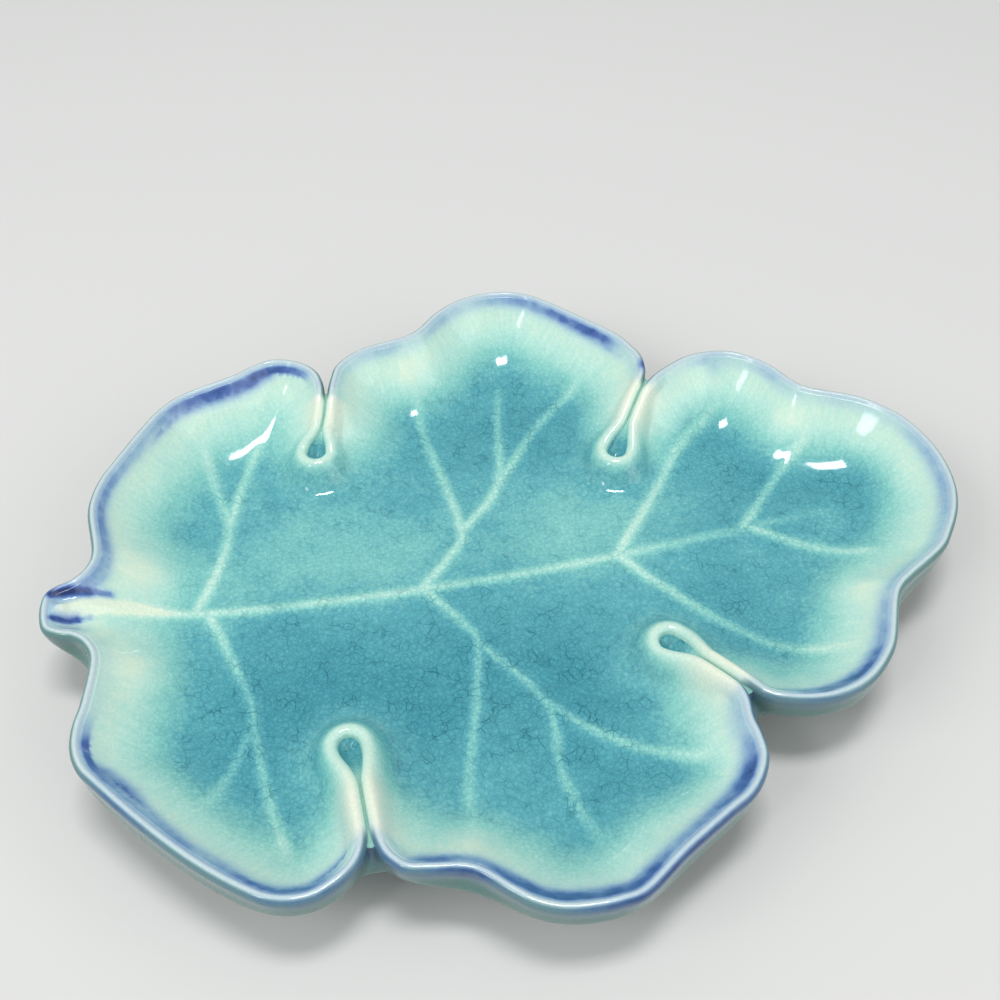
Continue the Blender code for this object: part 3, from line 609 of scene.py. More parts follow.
@dataclass
class LipPath:
    """The closed path of the lip, round the lobes and down both sides of every fold.

    Stations follow each other anticlockwise with the dish on their left. Each has its fold's
    number, or -1 on a lobe, and its share along that fold.
    """

    form: LeafForm
    spacing: float = 0.50
    fold_steps: int = 34
    arc_steps: int = 12
    mouth_gap: float = 1.1
    mouth_share: float = 0.03
    mouth_softness: float = 2.2
    left: list = field(default_factory=list)
    right: list = field(default_factory=list)
    arc: list = field(default_factory=list)
    lobe: list = field(default_factory=list)

    def __post_init__(self) -> None:
        """Lay the stations, soften the mouths of the folds and find the inward side."""
        places, folds, shares, count = [], [], [], 0
        for number, (lobe, fold) in enumerate(zip(self.form.lobes(), self.form.folds())):
            run = lengths_along(lobe)
            edge = evenly(
                lobe[(run > self.mouth_gap) & (run < run[-1] - self.mouth_gap)], self.spacing)
            sides, share = self.fold_sides(fold)
            places += [edge, sides]
            folds += [np.full(len(edge), -1), np.full(len(sides), number)]
            shares += [np.zeros(len(edge)), share]
            ends = np.cumsum((count, len(edge), self.fold_steps, self.arc_steps, self.fold_steps))
            for part, start, end in zip(
                    (self.lobe, self.left, self.arc, self.right), ends, ends[1:]):
                part.append(np.arange(start, end))
            self.right[-1] = self.right[-1][::-1]
            count = ends[-1]
        self.fold, self.share = np.concatenate(folds), np.concatenate(shares)
        self.places = self.soft_mouths(np.vstack(places))
        self.side = softened_ring(ring_side(self.places), 1.0)
        self.side /= np.linalg.norm(self.side, axis=1)[:, None]

    def fold_sides(self, fold: Array) -> tuple[Array, Array]:
        """Lay stations down one side of a fold, round its pit and back up the other side.

        Args:
            fold: The fold's line from its mouth to its pit.

        Returns:
            The stations, and the share of the fold at each.
        """
        run = lengths_along(fold)
        share = np.linspace(self.mouth_share, 1, self.fold_steps)
        path = np.stack([np.interp(share * run[-1], run, fold[:, axis]) for axis in (0, 1)], axis=1)
        steps = np.gradient(path, axis=0)
        ahead = steps / np.linalg.norm(steps, axis=1)[:, None]
        side = turned_left(ahead)
        half = self.form.groove_half(share)[:, None]
        turn = np.linspace(0, math.pi, self.arc_steps + 2)[1:-1, None]
        round_end = path[-1] + self.form.pit_radius * (
            side[-1] * np.cos(turn) + ahead[-1] * np.sin(turn))
        stations = np.vstack((path + side * half, round_end, (path - side * half)[::-1]))
        return stations, np.concatenate((share, np.ones(self.arc_steps), share[::-1]))

    def soft_mouths(self, raw: Array) -> Array:
        """Round the turn where the lip of a lobe runs into a fold.

        Args:
            raw: The stations before it.

        Returns:
            The softened stations.
        """
        near = np.zeros(len(raw))
        for number in [side[0] for side in self.left + self.right]:
            gap = np.abs(np.arange(len(raw)) - number)
            near = np.maximum(near, 1 - eased((np.minimum(gap, len(raw) - gap) - 4) / 6))
        return raw + (softened_ring(raw, self.mouth_softness) - raw) * near[:, None]

    def crest(self) -> Array:
        """Give the height of the lip's crest at each station.

        Returns:
            One height a station.
        """
        return np.where(self.fold < 0, self.form.rim_height, self.form.fold_crest(self.share))


# wall: share of the outer wall's colour, with the painted shade that darkens it
TRAITS = ("pool", "cobalt", "lip", "cream", "inset", "along", "wall")


class Zone(Enum):
    """Which coat of glaze a face of the skin belongs to."""

    WELL = "well"
    LIP = "lip"
    BACK = "back"
    BASE = "base"
    UNDER_FOOT = "under_foot"


@dataclass
class Skin:
    """All points and triangles of the glazed surface, with what the glaze does at each point."""

    points: list = field(default_factory=list)
    traits: list = field(default_factory=list)
    faces: dict = field(default_factory=lambda: {zone: [] for zone in Zone})
    count: int = 0
    evening_rounds: int = 4

    def add(self, points: Array, **traits: Array) -> Array:
        """Add points with their traits and return their numbers.

        Args:
            points: Places in millimetres, one row a point.
            **traits: Values of the TRAITS by name, 0 where left out.

        Returns:
            The numbers of the new points.
        """
        rows = np.zeros((len(points), len(TRAITS)))
        for column, name in enumerate(TRAITS):
            rows[:, column] = traits.get(name, 0.0)
        self.points.append(np.asarray(points, float))
        self.traits.append(rows)
        numbers = np.arange(self.count, self.count + len(points))
        self.count += len(points)
        return numbers

    def strip(self, zone: Zone, upper: Array, lower: Array, closed: bool) -> None:
        """Join two rows of points with triangles.

        Args:
            zone: The coat that the strip belongs to.
            upper: The row on the left of the strip's direction.
            lower: The row on its right, as long as the other.
            closed: Whether the rows end where they start.
        """
        a, b, c, d = upper[:-1], lower[:-1], lower[1:], upper[1:]
        if closed:
            a, b, c, d = upper, lower, np.roll(lower, -1), np.roll(upper, -1)
        self.faces[zone] += [np.stack((a, b, c), axis=1), np.stack((a, c, d), axis=1)]

    def all_points(self) -> Array:
        """Give every point as one array.

        Returns:
            The points.
        """
        return np.vstack(self.points)

    def all_traits(self) -> Array:
        """Give every point's traits as one array.

        Returns:
            One row a point.
        """
        return np.vstack(self.traits)

    def outward(self) -> Array:
        """Average the outward direction of the faces round each point, over every coat.

        Returns:
            A unit direction for each point.
        """
        points = self.all_points()
        faces = np.vstack([part for parts in self.faces.values() for part in parts])
        a, b, c = (points[faces[:, corner]] for corner in range(3))
        across = np.cross(b - a, c - a)
        across /= np.maximum(np.linalg.norm(across, axis=1), 1e-12)[:, None] ** 0.5
        out = np.zeros_like(points)
        for corner in range(3):
            np.add.at(out, faces[:, corner], across)
        for _ in range(self.evening_rounds):
            out /= np.maximum(np.linalg.norm(out, axis=1), 1e-12)[:, None]
            round_face = out[faces].sum(axis=1)
            for corner in range(3):
                np.add.at(out, faces[:, corner], 0.25 * round_face)
        return out / np.maximum(np.linalg.norm(out, axis=1), 1e-12)[:, None]


@dataclass
class GlazedLeaf:
    """The leaf's skin: lip, well, grooves, outer wall and underside."""

    form: LeafForm
    path: LipPath
    skin: Skin = field(default_factory=Skin)
    lip_insets: tuple = (
        0.0, 0.08, 0.22, 0.42, 0.66, 0.96, 1.30, 1.55, 1.78, 1.98, 2.13, 2.24, 2.30)
    wall_insets: tuple = (2.40, 2.54, 2.73, 2.97, 3.25)
    wall_profile: tuple = (
        (0.0, 1.3), (0.02, 1.7), (0.05, 2.2), (0.08, 2.7), (0.10, 3.3), (0.11, 4.0), (0.13, 4.7),
        (0.28, 5.4), (0.72, 6.0), (1.40, 6.5), (2.30, 6.9), (3.30, 7.2))
    wall_softness: tuple = (0.0, 0.3, 0.55, 0.8, 1.2, 1.8, 2.6, 3.4, 4.3, 5.3, 6.5, 7.7)
    lobe_radius: float = 22.0
    cobalt_softness: float = 1.05
    cobalt_inward: float = 0.42
    cobalt_power: float = 2.6
    run_strength: float = 0.8
    cream_middle: float = 1.2
    thin_edge: float = 4.0
    deepening: float = 13.0
    rim_pool: float = 0.14
    floor_pool: float = 0.52
    pleat_thinning: float = 0.12
    lip_strips: int = 7
    groove_points: int = 9
    well_spacing: float = 0.60
    settling_rounds: int = 36
    under_spacing: float = 1.15
    under_wall_width: float = 16.5
    underside_height: float = 2.6
    edge_depth: float = 7.2
    foot_length: float = 86.0
    foot_width: float = 56.0
    foot_band: float = 4.0

    def build(self) -> Skin:
        """Build every part of the skin.

        Returns:
            The skin.
        """
        self.outline, self.folds = self.form.outline(), self.form.folds()
        self.run = lengths_along(self.path.places)
        self.strength, self.width, self.runs = self.cobalt_along()
        self.build_well(self.build_lip())
        self.build_outside(self.build_grooves())
        return self.skin

    def fold_reaches(self, points: Array) -> list[tuple[Array, Array]]:
        """Measure how far points lie from each groove's side, and the share along its fold.

        Args:
            points: Plan points.

        Returns:
            The distances and the shares, a pair for each fold.
        """
        measured = [line_reach(points, fold) for fold in self.folds]
        return [(distance - self.form.groove_half(share), share) for distance, share in measured]

    def station_reaches(self, points: Array, inset: Array) -> tuple[Array, list]:
        """Measure points that stand one inset in from the stations of the lip.

        Args:
            points: One plan point a station.
            inset: The distance of each from the free edge.

        Returns:
            The distance from the outline, and each fold's distance and share.
        """
        edge = np.maximum(line_reach(points, self.outline)[0], inset)
        reaches = []
        for number, (reach, share) in enumerate(self.fold_reaches(points)):
            own = self.path.fold == number
            reach = np.where(own, inset, np.maximum(reach, inset))
            reaches.append((reach, np.where(own, self.path.share, share)))
        return np.where(self.path.fold < 0, inset, edge), reaches

    def marks_along(self, marks: tuple) -> list[Array]:
        """Read a table of marks along the lip.

        Args:
            marks: Rows of a place on the edge in leaf parts, and the values there.

        Returns:
            Each value at every station.
        """
        places = self.path.places
        nearest = [np.linalg.norm(places - leaf_plan(mark[:2]), axis=1).argmin() for mark in marks]
        rows = np.array(sorted(
            (self.run[place],) + mark[2:] for place, mark in zip(nearest, marks)))
        lap = np.zeros(rows.shape[1])
        lap[0] = self.run[-1] + np.linalg.norm(places[0] - places[-1])
        rows = np.vstack((rows - lap, rows, rows + lap))
        return [np.interp(self.run, rows[:, 0], values) for values in rows.T[1:]]

    def cobalt_along(self) -> tuple[Array, Array, Array]:
        """Give the strength and width of the cobalt line, and the strength of its runs outside.

        Returns:
            Each of the three at every station.
        """
        strength, width = self.marks_along(COBALT_MARKS)
        runs, = self.marks_along(COBALT_RUNS)
        along_fold = np.where(self.path.fold < 0, 1, np.clip(1 - self.path.share * 4, 0, 1))
        return (softened_ring(strength * along_fold, 3.0), width,
                softened_ring(runs * along_fold, 3.0))

    def cobalt(self, points: Array, inset: Array | float, strength: Array | float,
               width: Array | float) -> Array:
        """Give how much cobalt shows at points near the lip.

        Args:
            points: Plan points.
            inset: Distance of each from the free edge.
            strength: Strength of the line beside each.
            width: Width of the line there.

        Returns:
            Shares from 0 to 1.
        """
        size = self.form.lip_share(points)
        offset = inset - self.cobalt_softness - size - self.cobalt_inward * width
        inward = 0.3 + width * (1.15 - 0.5 * self.form.far_share(points))
        reach = np.where(offset < 0, self.cobalt_softness, inward)
        line = strength * np.exp(-np.abs(offset / reach) ** self.cobalt_power)
        spots = [(np.linalg.norm(points - leaf_plan(middle), axis=1), *rest)
                 for middle, *rest in COBALT_POOLS]
        spots += [(line_reach(points, leaf_plan(stroke))[0], *rest)
                  for stroke, *rest in COBALT_STROKES]
        for gap, radius, depth in spots:
            line = np.maximum(line, depth * bell(gap, radius))
        return np.clip(line, 0, 1)

    def cream(self, points: Array) -> Array:
        """Give how far the glaze thins to cream on the ridges beside the folds.

        Args:
            points: Plan points.

        Returns:
            Shares from 0 to 1.
        """
        most = np.zeros(len(points))
        for reach, share in self.fold_reaches(points):
            near_pit = eased((share - 0.40) / 0.5)
            width = np.where(reach < self.cream_middle, 1.0, 2.2 - 1.45 * near_pit)
            ridge = bell(reach - self.cream_middle, width) * (0.90 - 0.62 * near_pit)
            most = np.maximum(most, ridge * eased((share - 0.01) / 0.12))
        return most

    def pool(self, points: Array, free_edge: Array) -> Array:
        """Give how deep the glaze stands on the face, from 0 at the lip to 1 in the hollows.

        The glaze is thin over a wide band inside the outline and over a narrow one round a pit.

        Args:
            points: Plan points.
            free_edge: Distance of each from the nearest free edge.

        Returns:
            Shares from 0 to 1.
        """
        rise = eased((line_reach(points, self.outline)[0] - self.thin_edge) / self.deepening)
        for reach, share in self.fold_reaches(points):
            near_pit = eased((share - 0.40) / 0.5)
            start, band = 1.9 - 1.3 * near_pit, 3.2 + 7.4 * (1 - share)
            rise = np.minimum(rise, np.maximum(eased((reach - start) / band), 0.2 * near_pit))
        pleated = self.pleat_thinning * self.form.pleats(points, free_edge) / self.form.pleat_rise
        depth = self.rim_pool + self.floor_pool * rise - pleated
        inner = eased((free_edge - self.thin_edge) / 7.0)
        for middle, reach, strength in GLAZE_HOLLOWS:
            gap = np.linalg.norm(points - leaf_plan(middle), axis=1)
            depth += strength * bell(gap, reach) * inner
        return np.clip(depth, 0, 1)

    def build_lip(self) -> Array:
        """Build the rolled lip and the first steps of the inner wall.

        Returns:
            The numbers of the innermost ring.
        """
        form, path = self.form, self.path
        crest, size = path.crest(), form.lip_share(path.places)
        mouth = np.where(path.fold < 0, 1, 1 - eased((path.share - 0.04) / 0.14))
        previous = None
        for zone, insets in ((Zone.LIP, self.lip_insets), (Zone.WELL, self.wall_insets)):
            for inset in insets:
                reach = inset * size
                points = path.places + path.side * reach[:, None]
                edge, reaches = self.station_reaches(points, reach)
                if zone is Zone.WELL:
                    edge = np.maximum(edge, form.crease_inset * size)
                height = form.height(points, edge, reaches, size)
                if inset <= form.lip_radius:
                    radius = form.lip_radius * size
                    height = crest - radius + form.quarter_round(reach, radius)
                elif zone is Zone.LIP:
                    inner = (inset - form.lip_radius) / (form.crease_inset - form.lip_radius)
                    bead = crest - form.crease_depth * size * (1 - math.cos(math.pi * inner)) / 2
                    height = np.where(path.fold < 0, np.maximum(bead, height), height)
                free = np.full(len(points), inset)
                white = eased((free - 0.6) / 0.5) * (1 - eased((free - 1.6) / 0.75))
                cobalt = self.cobalt(points, free, self.strength, self.width)
                # The wall share brings the outer wall's colour and its painted shade up the lip's
                # outer side
                numbers = self.skin.add(
                    np.column_stack((points, height)), pool=self.pool(points, reach),
                    cobalt=np.maximum(
                        cobalt, self.run_strength * self.runs * bell(free - 0.35, 0.6)),
                    lip=white * mouth, wall=(1 - eased((free - 0.45) / 0.55)) * mouth,
                    cream=self.cream(points), inset=inset, along=self.run)
                if previous is not None:
                    self.skin.strip(zone, numbers, previous, True)
                previous = numbers
        return previous

    def build_well(self, ring: Array) -> None:
        """Fill the well inside the innermost ring of the wall.

        Args:
            ring: The numbers of that ring's points.
        """
        form = self.form
        border = self.skin.all_points()[ring][:, :2]
        grid = staggered_grid(border, self.well_spacing)
        grid = grid[inside_ring(grid, border)]
        edge, _ = line_reach(grid, self.outline)
        reaches, size = self.fold_reaches(grid), form.lip_share(grid)
        free_edge = np.min([edge] + [reach for reach, _ in reaches], axis=0)
        clear = free_edge > self.wall_insets[-1] * size + self.well_spacing * 0.5
        grid, edge, free_edge, size = grid[clear], edge[clear], free_edge[clear], size[clear]
        height = form.height(
            grid, edge, [(reach[clear], share[clear]) for reach, share in reaches], size)
        _, along = line_reach(grid, np.vstack((self.path.places, self.path.places[:1])))
        nearest = np.clip((along * len(self.path.places)).astype(int), 0, len(self.path.places) - 1)
        inset = free_edge / size
        inner = self.skin.add(
            np.column_stack((grid, height)), pool=self.pool(grid, free_edge),
            cobalt=self.cobalt(grid, inset, self.strength[nearest], self.width[nearest]),
            cream=self.cream(grid), inset=inset, along=along * self.run[-1])
        faces = np.concatenate((ring, inner))[self.triangulated(np.vstack((border, grid)), border)]
        self.skin.faces[Zone.WELL].append(faces)
        self.ease_heights(inner, faces, free_edge)

    def triangulated(self, places: Array, border: Array) -> Array:
        """Join plan points into triangles inside their border, facing up.

        Args:
            places: Plan points, the border's first.
            border: The border's points.

        Returns:
            Triangles as numbers into the plan points.
        """
        chain = [(i, (i + 1) % len(border)) for i in range(len(border))]
        result = delaunay_2d_cdt([Vector(place) for place in places], chain, [], 0, 1e-9)
        source = np.array([found[0] if found else -1 for found in result[3]])
        faces = source[np.array([face for face in result[2] if len(face) == 3])]
        faces = faces[(faces >= 0).all(axis=1)]
        _, kind, times = np.unique(np.sort(faces, axis=1), axis=0, return_inverse=True,
                                   return_counts=True)
        faces = faces[times[kind.ravel()] == 1]
        faces = faces[inside_ring(places[faces].mean(axis=1), border)]
        a, b, c = (places[faces[:, corner]] for corner in range(3))
        turn = (b - a)[:, 0] * (c - a)[:, 1] - (b - a)[:, 1] * (c - a)[:, 0]
        return np.where(turn[:, None] < 0, faces[:, ::-1], faces)

    def ease_heights(self, inner: Array, faces: Array, free_edge: Array) -> None:
        """Soften the well where two walls meet, more with the distance from the lip.

        Args:
            inner: Numbers of the points that may move.
            faces: The well's triangles.
            free_edge: Distance of each inner point from the free edge.
        """
        points = self.skin.all_points()
        edges = np.vstack((faces[:, :2], faces[:, 1:], faces[:, ::2]))
        edges = np.unique(np.sort(edges, axis=1), axis=0)
        share = np.bincount(edges.ravel(), minlength=len(points))
        weight = np.zeros(len(points))
        weight[inner] = eased((free_edge - 3.6) / 5.0) * 0.6
        height = points[:, 2].copy()
        for _ in range(self.settling_rounds):
            total = np.bincount(edges[:, 0], height[edges[:, 1]], minlength=len(points))
            total += np.bincount(edges[:, 1], height[edges[:, 0]], minlength=len(points))
            average = np.divide(total, share, out=height.copy(), where=share > 0)
            height += (average - height) * weight
        points[:, 2] = height
        self.skin.points = [points]

    def build_grooves(self) -> list[Array]:
        """Build the grooves and pits of the folds.

        Returns:
            For each fold, the numbers of the points across its mouth, left to right.
        """
        shares = np.sin(np.linspace(-1, 1, self.groove_points) * math.pi / 2)
        across, mouths = shares[1:-1], []
        for left, right, arc in zip(self.path.left, self.path.right, self.path.arc):
            points, rows = self.skin.all_points(), []
            for one, other, share in zip(left, right, self.path.share[left]):
                half = (points[other] - points[one]) / 2
                width = np.linalg.norm(half)
                row = (points[one] + points[other]) / 2 + np.outer(across, half)
                row[:, 2] -= self.groove_sink(width, share) * (1 - across ** 2) ** 0.8
                inner = self.skin.add(row, pool=0.26 + 0.50 * eased(width / self.form.pit_radius),
                                      cobalt=self.cobalt(row[:, :2], -9.0, 0.0, 1.0))
                rows.append(np.concatenate(([one], inner, [other])))
            for one, two in zip(rows, rows[1:]):
                self.skin.strip(Zone.LIP, two, one, False)
            self.close_pit(rows[-1], arc, shares)
            mouths.append(rows[0])
        return mouths

    def groove_sink(self, width: float, share: float) -> float:
        """Give how deep a groove is at its middle by its half width.

        Args:
            width: Half the groove's width.
            share: The share along the fold.

        Returns:
            The depth.
        """
        narrow = self.form.groove_half_width
        opened = np.clip((width - narrow) / (self.form.pit_radius - narrow), 0, 1)
        return 0.40 + self.form.pit_depth * opened * eased((share - 0.5) / 0.4)

    def close_pit(self, row: Array, arc: Array, shares: Array) -> None:
        """Close the round end of a pit with arcs round its middle.

        Args:
            row: The numbers across the pit's widest place.
            arc: The stations round its end, left to right.
            shares: Where the points stand across the pit, from -1 to 1.
        """
        points, half = self.skin.all_points(), len(shares) // 2
        middle = points[row[half], :2]
        rim = np.concatenate(([row[0]], arc, [row[-1]]))
        for ring in range(1, half):
            size = abs(shares[ring])
            flat = middle + (points[arc][:, :2] - middle) * size
            level = points[row[ring], 2] + (points[arc, 2] - points[rim[0], 2]) * size
            inner = self.skin.add(np.column_stack((flat, level)), pool=0.76)
            inner_rim = np.concatenate(([row[ring]], inner, [row[-1 - ring]]))
            self.skin.strip(Zone.LIP, rim, inner_rim, False)
            rim = inner_rim
        fan = np.stack((np.full(len(rim) - 1, row[half]), rim[1:], rim[:-1]), axis=1)
        self.skin.faces[Zone.LIP].append(fan)

    def build_outside(self, mouths: list[Array]) -> None:
        """Build the outer wall under the lip, and the underside.

        Args:
            mouths: For each fold, the numbers of the points across its mouth.
        """
        ring = np.concatenate([part for pair in zip(self.path.lobe, mouths) for part in pair])
        start = self.skin.all_points()[ring]
        profile = curve_through(np.array(self.wall_profile), 2)
        softness = np.interp(
            np.linspace(0, 1, len(profile)), np.linspace(0, 1, len(self.wall_softness)),
            self.wall_softness)
        along = np.linspace(0, self.run[-1], len(ring))
        in_mouth = ring >= len(self.runs)
        runs = np.where(
            in_mouth, self.run_strength, self.runs[np.minimum(ring, len(self.runs) - 1)])
        runs = softened_ring(runs, 4.0)
        mouth = softened_ring(in_mouth.astype(float), 4.0)
        previous = ring
        for number, ((tuck, drop), soft) in enumerate(zip(profile[1:], softness[1:]), 1):
            plan = softened_ring(start[:, :2], soft / self.path.spacing)
            plan += ring_side(plan) * (tuck - soft ** 2 / (2 * self.lobe_radius))
            hollow = softened_ring(
                start[:, 2] - (self.form.rim_height - self.form.lip_radius), soft)
            level = self.form.rim_height - drop + hollow * (1 - number / len(profile))
            cobalt = runs * self.run_strength * bell(drop - 1.3, 1.3)
            cobalt = np.maximum(cobalt, mouth * bell(drop - 2.2, 2.4))
            # The outer wall takes the wall colour and the painted shade over it
            numbers = self.skin.add(np.column_stack((plan, level)), pool=0.30, wall=1.0,
                                    cobalt=cobalt, inset=-drop, along=along)
            self.skin.strip(
                Zone.LIP if number <= self.lip_strips else Zone.BACK, previous, numbers, True)
            previous = numbers
        self.build_underside(previous)

    def foot_oval(self, offset: float, count: int) -> Array:
        """Draw the middle line of the foot, moved out by an offset.

        Args:
            offset: How far it is moved out.
            count: How many points it has.

        Returns:
            The line's plan points.
        """
        turn = np.linspace(0, 2 * math.pi, count, endpoint=False)
        edge = self.outline[:, 0]
        centre = ((edge.min() + edge.max()) / 2, leaf_plan(MIDRIB)[:, 1].min())
        reach = (np.array((self.foot_length, self.foot_width)) - self.foot_band) / 2 + offset
        return centre + reach * np.stack((np.cos(turn), np.sin(turn)), axis=1)

    def build_underside(self, ring: Array) -> None:
        """Fill the underside inside the wall's last ring, parted by the foot.

        Args:
            ring: The numbers of that ring's points.
        """
        border = self.skin.all_points()[ring][:, :2]
        grid = staggered_grid(border, self.under_spacing)
        grid = grid[inside_ring(grid, border)]
        closed = np.vstack((border, border[:1]))
        grid = grid[line_reach(grid, closed)[0] > self.under_spacing * 0.6]
        outer = self.foot_oval(self.foot_band / 2, 200)
        inner = self.foot_oval(-self.foot_band / 2, 180)
        for oval in (outer, inner):
            gap, _ = line_reach(grid, np.vstack((oval, oval[:1])))
            grid = grid[gap > self.under_spacing * 0.45]
        extra = np.vstack((outer, inner, grid))
        reach, _ = line_reach(extra, closed)
        down = 1 - np.clip(reach / self.under_wall_width, 0, 1)
        top = self.form.rim_height - self.edge_depth
        height = self.underside_height + (top - self.underside_height) * down ** 2
        # The underside takes the wall colour and the painted shade over it
        added = self.skin.add(np.column_stack((extra, height)), pool=0.62, wall=1.0, inset=-9.0)
        places = np.vstack((border, extra))
        faces = self.triangulated(places, border)
        middles = places[faces].mean(axis=1)
        in_outer, in_inner = inside_ring(middles, outer), inside_ring(middles, inner)
        faces = np.concatenate((ring, added))[faces][:, ::-1]
        self.skin.faces[Zone.BACK].append(faces[~in_outer])
        self.skin.faces[Zone.BASE].append(faces[in_inner])
        self.skin.faces[Zone.UNDER_FOOT].append(faces[in_outer & ~in_inner])


@dataclass(frozen=True)
class NodeMaker:
    """Adds nodes to one tree, with their settings and links."""

    tree: NodeTree

    def add(self, kind: str, inputs: dict | None = None, out: int | str = 0,
            **settings: object) -> NodeSocket | None:
        """Add one node.

        Args:
            kind: The node's type.
            inputs: A value or another node's socket for each input, by its name or number.
            out: Which output to give back.
            **settings: Attributes of the node.

        Returns:
            The output socket, if the node has any.
        """
        node = self.tree.nodes.new(kind)
        for name, value in settings.items():
            setattr(node, name, value)
        for name, value in (inputs or {}).items():
            if isinstance(value, NodeSocket):
                self.tree.links.new(value, node.inputs[name])
            else:
                node.inputs[name].default_value = value
        return node.outputs[out] if node.outputs else None

    def ended(self, shape: NodeSocket, material: Material) -> NodeTree:
        """End a geometry tree with its shape made real and its material set.

        Args:
            shape: The finished geometry's socket.
            material: What it is made of.

        Returns:
            The tree.
        """
        real = self.add("GeometryNodeRealizeInstances", {0: shape})
        dressed = self.add("GeometryNodeSetMaterial", {0: real, "Material": material})
        self.add("NodeGroupOutput", {0: dressed})
        return self.tree

    def fill_ramp(self, stops: tuple) -> None:
        """Set the newest colour ramp's stops from places and hex colours.

        Args:
            stops: Rows of a place and a colour.
        """
        ramp = self.tree.nodes[-1].color_ramp
        for number, (place, colour) in enumerate(stops):
            stop = ramp.elements[number] if number < 2 else ramp.elements.new(place)
            stop.position, stop.color = place, linear(colour)


def new_material(name: str) -> tuple[Material, NodeMaker]:
    """Make an empty material.

    Args:
        name: The material's name.

    Returns:
        The material, and what adds nodes to it.
    """
    material = bpy.data.materials.new(name)
    material.use_nodes = True
    material.node_tree.nodes.clear()
    return material, NodeMaker(material.node_tree)


def new_geometry_tree(name: str, sizes: tuple) -> tuple[NodeMaker, bpy.types.NodeOutputs]:
    """Make a geometry tree with named inputs.

    Args:
        name: The tree's name.
        sizes: Names of its inputs after the geometry.

    Returns:
        What adds nodes to it, and its inputs as sockets.
    """
    tree = bpy.data.node_groups.new(name, "GeometryNodeTree")
    tree.interface.new_socket("Geometry", in_out="INPUT", socket_type="NodeSocketGeometry")
    for size in sizes:
        tree.interface.new_socket(size, in_out="INPUT", socket_type="NodeSocketFloat")
    tree.interface.new_socket("Geometry", in_out="OUTPUT", socket_type="NodeSocketGeometry")
    return NodeMaker(tree), tree.nodes.new("NodeGroupInput").outputs


